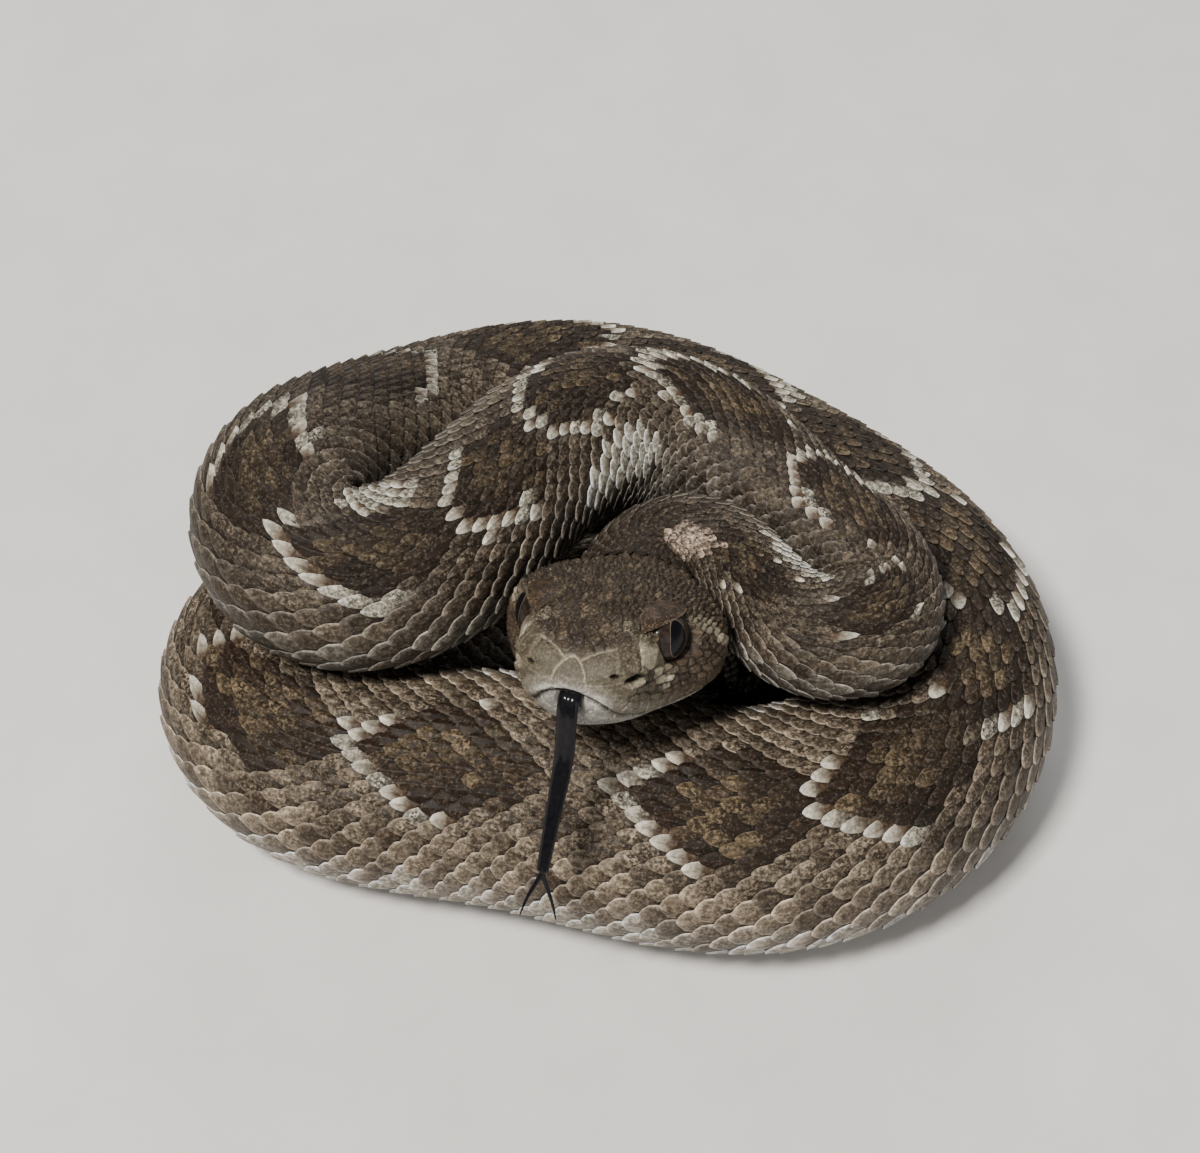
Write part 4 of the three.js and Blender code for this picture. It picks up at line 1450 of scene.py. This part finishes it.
# The eyes: a glossy ball with a dark iris and an upright pupil, wide open in the dark
eyeLook = {
    "around": 72,
    "rings": 48,
    "pupilHalf": 1.4,
    "pupilTall": 2.35,
    "forward": 26,
    "upward": 6,
    "streakScale": 1700,
    "iris": ((0.008, 0.005, 0.004), (0.028, 0.019, 0.014)),
    "rim": (0.10, 0.075, 0.055),
    "pupil": (0.003, 0.003, 0.004),
}


def eyeInputs(tree):
    look = eyeLook
    local = tree.nodes.new("ShaderNodeAttribute")
    local.attribute_name = "EyePlace"
    parts = newNode(tree, "ShaderNodeSeparateXYZ", {"Vector": local.outputs["Vector"]})
    squares = []
    for axis, half in (("X", look["pupilHalf"]), ("Y", look["pupilTall"])):
        share = mathNode(tree, "DIVIDE", parts.outputs[axis], half)
        squares.append(mathNode(tree, "MULTIPLY", share, share))
    reach = mathNode(tree, "SQRT", mathNode(tree, "ADD", *squares), 0)
    streaks = noiseNode(tree, objectPlace(tree), look["streakScale"], 3)
    iris = mixNode(tree, rangeNode(tree, streaks, 0.35, 0.65), *look["iris"])
    rimmed = mixNode(tree, rangeNode(tree, reach, 1.12, 1.08), iris, look["rim"])
    return {
        "Base Color": mixNode(tree, rangeNode(tree, reach, 1.05, 1.02), rimmed, look["pupil"]),
        "Roughness": 0.35,
        "Coat Weight": 0.16,
        "Coat Roughness": 0.04,
        "Specular IOR Level": 0.08,
    }


def buildEye(name, node, side, material):
    settings = eyeLook
    turn, lift = math.radians(settings["forward"]), math.radians(settings["upward"])
    across = np.array([math.cos(turn), -side * math.sin(turn), 0])
    level = np.array([math.sin(turn), side * math.cos(turn), 0])
    gaze = level * math.cos(lift) + np.array([0, 0, math.sin(lift)])
    tall = np.array([0, 0, math.cos(lift)]) - level * math.sin(lift)
    lat = (np.arange(settings["rings"] + 1) / settings["rings"]) * math.pi
    lon = np.arange(settings["around"]) / settings["around"] * 2 * math.pi
    lat, lon = lat[1:-1, None], lon[None]
    local = np.stack([np.sin(lat) * np.cos(lon), np.sin(lat) * np.sin(lon), np.cos(lat) + 0 * lon], -1)
    local = np.concatenate([local.reshape(-1, 3), [[0, 0, 1]], [[0, 0, -1]]])
    local = local * np.array([eye["radius"], eye["radius"], eye["deep"]])
    local[:, 1] *= np.where(local[:, 1] > 0, eye["topShare"], 1)
    centre = np.array([eye["at"], side * eye["out"], eye["up"]])
    inHead = centre + local[:, :1] * across + local[:, 1:2] * tall + local[:, 2:] * gaze
    index = np.arange(len(local) - 2).reshape(-1, settings["around"])
    front = turned(fanFaces(index[0], index.size))
    back = fanFaces(index[-1], index.size + 1)
    poles = np.stack([front, back], 1).reshape(-1, 3)
    piece = newPiece(name, fromHead(inHead), [gridFaces(index), poles], material)
    layer = piece.data.attributes.new("EyePlace", "FLOAT_VECTOR", "POINT")
    layer.data.foreach_set("vector", local.astype(np.float32).ravel())
    place(piece, [node])


# The brow plates: one large flat scale over each eye, sunk in the crown along its inner side,
# its outer edge sharp and standing out over the eye
browPlate = {
    "inner": ((10.2, 7.2, 8.2), (14.8, 5.4, 8.45), (19.4, 5.6, 7.5)),
    "outer": ((10.2, 10.3, 7.1), (14.8, 10.3, 7.5), (19.8, 7.2, 6.9)),
    "rows": 41,
    "columns": 25,
    "thick": 0.75,
    "swell": 0.3,
    "raised": 0.12,
    "edgePale": 0.5,
}


def buildBrows():
    settings = browPlate
    points, faces, colours = [], [], []
    rows, columns = settings["rows"], settings["columns"]
    along = np.linspace(-1, 1, rows)[:, None]
    width = np.sqrt(np.clip(1 - np.abs(along) ** 4, 0.0004, 1)) * (1 - 0.45 * np.clip(along, 0, 1) ** 1.5)
    level = np.linspace(-1, 1, columns)[None]
    share = 1 - (0.5 - 0.5 * level) * width
    t = along * np.ones_like(share)
    inner = bentLine(settings["inner"], t)
    outer = bentLine(settings["outer"], t)
    thin = (1 - level**4) * np.clip(1 - along**4, 0.02, 1)
    swell = settings["swell"] * np.sin(share * math.pi) * thin
    wrinkle = 0.05 * np.sin(4.1 * t * 2 + 2 * np.sin(5 * share)) + 0.04 * np.sin(9 * share + 5 * t)
    for side in (1, -1):
        middle = inner + (outer - inner) * share[..., None]
        upper, lower = middle.copy(), middle.copy()
        upper[..., 2] += swell + (settings["raised"] + wrinkle) * thin
        lower[..., 2] -= settings["thick"] * thin * (1 - 0.45 * share)
        for sheet in (upper, lower):
            sheet[..., 1] *= side
        start = sum(len(p) for p in points)
        index = np.arange(rows * columns).reshape(rows, columns) + start
        under = index + rows * columns
        points += [fromHead(upper.reshape(-1, 3)), fromHead(lower.reshape(-1, 3))]
        faces += [sheetFaces(index), sheetFaces(under)[:, ::-1]]
        rim = rimOf(index)
        below = rim + rows * columns
        faces.append(np.stack([rim, below, np.roll(below, -1), np.roll(rim, -1)], 1))
        if side < 0:
            faces[-3:] = [block[:, ::-1] for block in faces[-3:]]
        outerEdge = (smoothStep(share, 0.86, 0.97) * smoothStep(level, 0.6, 1)).ravel()
        innerEdge = (smoothStep(-level, 0.7, 0.95) * smoothStep(t, -0.7, 0.2)).ravel()
        mottle = (0.5 + 0.5 * np.sin(t * 7 + 2 * np.sin(share * 8)) * np.cos(share * 5 + t * 3)).ravel()
        tone = mixed(faceShades["brow"], faceShades["crownDark"], 0.1 + 0.75 * mottle)
        for edge in (outerEdge, innerEdge):
            tone = mixed(tone, faceShades["crownPale"], settings["edgePale"] * edge)
        # The plate's underside darkened: painted shade under the brow plate
        colours += [tone, mixed(tone, faceShades["hollowShade"], 0.5)]
    piece = newPiece("browPlates", np.concatenate(points), faces, skinMaterial)
    paint(piece, "Tint", np.concatenate(colours))
    place(piece)


# A curve through three points, for t from -1 to 1
def bentLine(ends, t):
    a, b, c = (np.array(p) for p in ends)
    t = t[..., None]
    return b + t * (c - a) / 2 + t**2 * ((a + c) / 2 - b)


eyeMaterial = newMaterial("wetEye", eyeInputs)
buildEye("eyeLeft", "eye_left", 1, eyeMaterial)
buildEye("eyeRight", "eye_right", -1, eyeMaterial)
buildBrows()
print("head: eyes and brow plates")

# The tongue: a flat, wet, black ribbon out of the lips that hangs down and forks. Its points
# are measured from where it leaves the lips.
tongue = {
    "width": 3.0,
    "thick": 1.3,
    "rootInside": 3.5,
    "lipAhead": 0.4,
    "up": 0.0,
    "aside": 0.5,
    "drop": [(3.4, -0.6, 6.3), (6.9, -1.6, 11.9), (12.9, -3.6, 21.4)],
    "tips": [(16.9, -1.9, 27.4), (16.7, -6.6, 26.4)],
    "narrows": 0.42,
    "tipWidth": 1.0,
    "tipEnd": 0.28,
    "voxel": 0.13,
}
tongueLook = {
    "grainScale": 1500,
    "shades": ((0.002, 0.002, 0.003), (0.007, 0.006, 0.007)),
    "roughness": (0.45, 0.65),
    "bumpHeight": 0.0001,
    "bump": 0.4,
}


def tongueInputs(tree):
    look = tongueLook
    grain = noiseNode(tree, objectPlace(tree), look["grainScale"], 3)
    return {
        "Base Color": mixNode(tree, rangeNode(tree, grain, 0.35, 0.7), *look["shades"]),
        "Roughness": rangeNode(tree, grain, 0.3, 0.7, *look["roughness"]),
        "Normal": bumpNode(tree, grain, look["bumpHeight"], look["bump"]),
        "Specular IOR Level": 0.04,
        "Coat Weight": 0.3,
        "Coat Roughness": 0.05,
    }


# The rings of a ribbon through some points, with its width and thickness as functions of the
# share of its length
def ribbonRings(points, widths, thicks, steps=60, around=20):
    points = np.array(points, float)
    gaps = np.concatenate([[0], np.cumsum(np.linalg.norm(np.diff(points, axis=0), axis=1) ** 0.5)])
    routes = [naturalSpline(gaps, points[:, k]) for k in range(3)]
    t = np.linspace(0, gaps[-1], steps)
    centre = np.stack([route(t) for route in routes], 1)
    along = unit(np.gradient(centre, axis=0))
    across = turnAbout(2, head["yaw"])[:, 0]
    up = unit(np.cross(along, across))
    side = np.cross(up, along)
    share = np.linspace(0, 1, steps)[:, None, None]
    angle = (np.arange(around) * 2 * math.pi / around)[None, :, None]
    groove = 1 - 0.25 * np.exp(-((np.cos(angle) / 0.3) ** 2))
    width, thick = widths(share) / 2, thicks(share) / 2
    level = width * np.cos(angle) * side[:, None]
    return centre[:, None] + level + thick * groove * np.sin(angle) * up[:, None]


# A tube of rings closed at both ends, its points counted from start
def closedTube(rings, start):
    rows, around = rings.shape[:2]
    index = np.arange(rows * around).reshape(rows, around) + start
    points = np.vstack([rings.reshape(-1, 3), rings[0].mean(0), rings[-1].mean(0)])
    tip = start + index.size
    return points, [gridFaces(index), turned(fanFaces(index[0], tip)), fanFaces(index[-1], tip + 1)]


# Puts the result of a piece's modifiers into its mesh
def solidify(piece):
    graph = bpy.context.evaluated_depsgraph_get()
    mesh = bpy.data.meshes.new_from_object(piece.evaluated_get(graph), depsgraph=graph)
    piece.modifiers.clear()
    piece.data = mesh


def buildTongue():
    settings = tongue
    root = fromHead([head["length"] - settings["rootInside"], settings["aside"], settings["up"]])
    lip = fromHead([head["length"] + settings["lipAhead"], settings["aside"], settings["up"]])
    fromLip = lambda out, side, down: lip + np.array([side, -out, -down])
    drop = [fromLip(*row) for row in settings["drop"]]
    narrow = lambda share: settings["width"] * (1 - settings["narrows"] * share**2)
    thin = lambda share: settings["thick"] * (1 - 0.25 * share)
    points, faces = closedTube(ribbonRings([root, lip, *drop], narrow, thin), 0)
    points = [points]
    fork, before = drop[-1], drop[-2]
    for tip in settings["tips"]:
        end = fromLip(*tip)
        bow = (fork + end) / 2 + 0.12 * (end - fork) * np.array([1, 0, 1])
        taper = lambda share: settings["tipWidth"] * (1 - (1 - settings["tipEnd"]) * share**1.2)
        rings = ribbonRings([before + 0.75 * (fork - before), fork, bow, end], taper, taper, 36, 14)
        more, moreFaces = closedTube(rings, sum(len(p) for p in points))
        points.append(more)
        faces += moreFaces
    piece = newPiece("tongueForked", np.concatenate(points), faces, newMaterial("wetTongue", tongueInputs))
    remesh = piece.modifiers.new("join", "REMESH")
    remesh.mode = "VOXEL"
    remesh.voxel_size = settings["voxel"] * mm
    remesh.use_smooth_shade = True
    smooth = piece.modifiers.new("smooth", "SMOOTH")
    smooth.factor = 0.5
    smooth.iterations = 6
    solidify(piece)
    place(piece, ["tongue"])
    print("tongue: %d points" % len(piece.data.vertices))


buildTongue()

# The rattle: horny segments that loosely lock, higher than wide, with a groove along each
# side. A node tree repeats one segment down the row, each a little smaller.
rattle = {
    "segments": 6,
    "pitch": 2.7,
    "high": 8.6,
    "wide": 6.4,
    "endShare": 0.72,
    "groove": 0.13,
    "dip": -0.05,
    "ahead": 0.15,
    # One segment's form: places along it in pitches, and how far out it reaches there
    "profile": [
        (-0.25, 0.35), (-0.2, 0.60), (0.0, 0.68), (0.1, 0.74), (0.2, 0.90), (0.36, 0.99), (0.52, 1.0),
        (0.66, 0.93), (0.74, 0.86), (0.84, 0.87), (0.95, 0.84), (1.03, 0.70), (1.04, 0.45),
    ],
    "rings": 40,
    "around": 48,
}
hornLook = {
    "cloudScale": 500,
    "grainScale": 3000,
    "shades": ((0.20, 0.14, 0.075), (0.42, 0.33, 0.20)),
    "speck": (0.08, 0.05, 0.03),
    "roughness": (0.36, 0.55),
    "bumpHeight": 0.0001,
    "bump": 0.35,
}


def hornInputs(tree):
    look = hornLook
    spot = objectPlace(tree)
    cloud = noiseNode(tree, spot, look["cloudScale"], 4)
    grain = noiseNode(tree, spot, look["grainScale"], 2)
    shade = mixNode(tree, rangeNode(tree, cloud, 0.35, 0.65), *look["shades"])
    return {
        "Base Color": mixNode(tree, rangeNode(tree, grain, 0.5, 0.75, 0, 0.4), shade, look["speck"]),
        "Roughness": rangeNode(tree, cloud, 0.3, 0.7, *look["roughness"]),
        "Normal": bumpNode(tree, grain, look["bumpHeight"], look["bump"]),
    }


# The node tree that repeats a segment, and its inputs' identifiers by name
def makeRowTree(material):
    tree, inputs, outputs = newGroup(
        "rattleRow",
        "GeometryNodeTree",
        [
            ("Geometry", "Geometry", None),
            ("Segments", "Int", None),
            ("Pitch", "Float", None),
            ("End Share", "Float", None),
        ],
        [("Geometry", "Geometry")],
    )
    offset = newNode(tree, "ShaderNodeCombineXYZ", {"X": inputs["Pitch"]}).outputs["Vector"]
    line = newNode(tree, "GeometryNodeMeshLine", {"Count": inputs["Segments"], "Offset": offset})
    order = newNode(tree, "GeometryNodeInputIndex", {}).outputs["Index"]
    along = mathNode(tree, "DIVIDE", order, mathNode(tree, "SUBTRACT", inputs["Segments"], 1))
    loss = mathNode(tree, "SUBTRACT", 1, inputs["End Share"])
    size = mathNode(tree, "SUBTRACT", 1, mathNode(tree, "MULTIPLY", along, loss))
    scale = newNode(tree, "ShaderNodeCombineXYZ", {"X": 1, "Y": size, "Z": size}).outputs["Vector"]
    copied = {"Points": line.outputs["Mesh"], "Instance": inputs["Geometry"], "Scale": scale}
    copies = newNode(tree, "GeometryNodeInstanceOnPoints", copied).outputs["Instances"]
    joined = newNode(tree, "GeometryNodeRealizeInstances", {"Geometry": copies}).outputs["Geometry"]
    finish = newNode(tree, "GeometryNodeSetMaterial", {"Geometry": joined, "Material": material})
    setInputs(tree, outputs, {"Geometry": finish.outputs["Geometry"]})
    entries = [item for item in tree.interface.items_tree if item.in_out == "INPUT"]
    return tree, {item.name: item.identifier for item in entries}


# One segment along X from 0: a swelling of two rings with a waist, closed at both ends
def rattleSegment():
    settings = rattle
    profile = settings["profile"]
    where = naturalSpline(np.arange(len(profile)), [p[0] for p in profile])
    reach = naturalSpline(np.arange(len(profile)), [p[1] for p in profile])
    t = np.linspace(0, len(profile) - 1, settings["rings"])
    angle = (np.arange(settings["around"]) * 2 * math.pi / settings["around"])[None]
    size = reach(t)[:, None] * (1 - settings["groove"] * np.cos(angle) ** 8)
    y = settings["wide"] / 2 * size * np.cos(angle)
    z = settings["high"] / 2 * size * np.sin(angle)
    x = settings["pitch"] * where(t)[:, None] + 0 * y
    return closedTube(np.stack([x, y, z], -1), 0)


def buildRattle():
    settings = rattle
    points, faces = rattleSegment()
    piece = newPiece("rattleSegments", points, faces, newMaterial("dryHorn", hornInputs))
    tree, names = makeRowTree(piece.data.materials[0])
    row = piece.modifiers.new("row", "NODES")
    row.node_group = tree
    row[names["Segments"]] = settings["segments"]
    row[names["Pitch"]] = settings["pitch"] * mm
    row[names["End Share"]] = settings["endShare"]
    solidify(piece)
    along = directionAt(bodyLength - 0.01)
    along[2] = settings["dip"]
    along = unit(along)
    side = unit(np.array([-along[1], along[0], 0]))
    up = np.cross(along, side)
    start = centreAt(bodyLength) + along * settings["ahead"]
    count = len(piece.data.vertices)
    local = np.zeros(count * 3, np.float32)
    piece.data.vertices.foreach_get("co", local)
    local = local.reshape(-1, 3).astype(float)
    moved = start * mm + local[:, :1] * along + local[:, 1:2] * side + local[:, 2:] * up
    moved[:, 2] = np.maximum(moved[:, 2], 0.0)
    piece.data.vertices.foreach_set("co", moved.astype(np.float32).ravel())
    piece.data.update()
    place(piece, ["rattle"])
    print("rattle: %d segments" % settings["segments"])


buildRattle()


# The floor, the light and the camera
stage = {
    "floorHalf": 2.5,
    "floorDrop": 0.00006,
    "grainScale": 60,
    "floorShades": ((0.62, 0.60, 0.57), (0.67, 0.65, 0.62)),
    "floorRoughness": 0.85,
    "lampsAim": (0, 0, 0.02),
    "world": (0.86, 0.88, 0.92),
    "worldStrength": 0.19,
}
lights = {
    "keyLight": {"place": (-0.3, -0.32, 0.95), "size": 0.2, "power": 18, "colour": (1.0, 0.97, 0.93)},
    "fillLight": {"place": (0.6, -0.75, 0.45), "size": 0.8, "power": 3.2, "colour": (0.96, 0.97, 1.0)},
    "rimLight": {"place": (0.1, 0.9, 0.6), "size": 0.6, "power": 5, "colour": (1.0, 1.0, 1.0)},
}


def floorInputs(tree):
    grain = noiseNode(tree, objectPlace(tree), stage["grainScale"], 4)
    shade = mixNode(tree, rangeNode(tree, grain, 0.3, 0.7), *stage["floorShades"])
    return {"Base Color": shade, "Roughness": stage["floorRoughness"]}


# The turn that makes a lamp at a place shine towards a target
def lookFrom(spot, target):
    away = target - spot
    level = math.hypot(away[0], away[1])
    return (math.atan2(level, -away[2]), 0, math.atan2(away[1], away[0]) - math.pi / 2)


def buildStage():
    half = stage["floorHalf"] / mm
    down = -stage["floorDrop"] / mm
    corners = np.array([(-half, -half, down), (half, -half, down), (half, half, down), (-half, half, down)])
    material = newMaterial("paleFloor", floorInputs)
    floor = newPiece("floor", corners, [np.array([(0, 1, 2, 3)])], material, False)
    world = bpy.data.worlds.new("studio")
    world.use_nodes = True
    background = world.node_tree.nodes["Background"]
    background.inputs["Color"].default_value = (*stage["world"], 1)
    background.inputs["Strength"].default_value = stage["worldStrength"]
    bpy.context.scene.world = world
    for name, settings in lights.items():
        lamp = bpy.data.lights.new(name, "AREA")
        lamp.size = settings["size"]
        lamp.energy = settings["power"]
        lamp.color = settings["colour"]
        thing = bpy.data.objects.new(name, lamp)
        thing.location = settings["place"]
        thing.rotation_euler = lookFrom(np.array(settings["place"]), np.array(stage["lampsAim"]))
        bpy.context.scene.collection.objects.link(thing)


def buildCamera():
    slope = math.radians(view["slope"])
    aim = np.array(view["aim"])
    spot = aim + view["distance"] * np.array([0, -math.cos(slope), math.sin(slope)])
    lens = bpy.data.cameras.new("photoCamera")
    lens.sensor_fit = "HORIZONTAL"
    lens.sensor_width = view["sensor"]
    lens.lens = view["focalPixels"] / view["framePixels"] * view["sensor"]
    camera = bpy.data.objects.new("photoCamera", lens)
    camera.location = spot * mm
    camera.rotation_euler = (math.pi / 2 - slope, 0, 0)
    bpy.context.scene.collection.objects.link(camera)
    bpy.context.scene.camera = camera


buildStage()
buildCamera()
print("stage: floor, lights and camera")
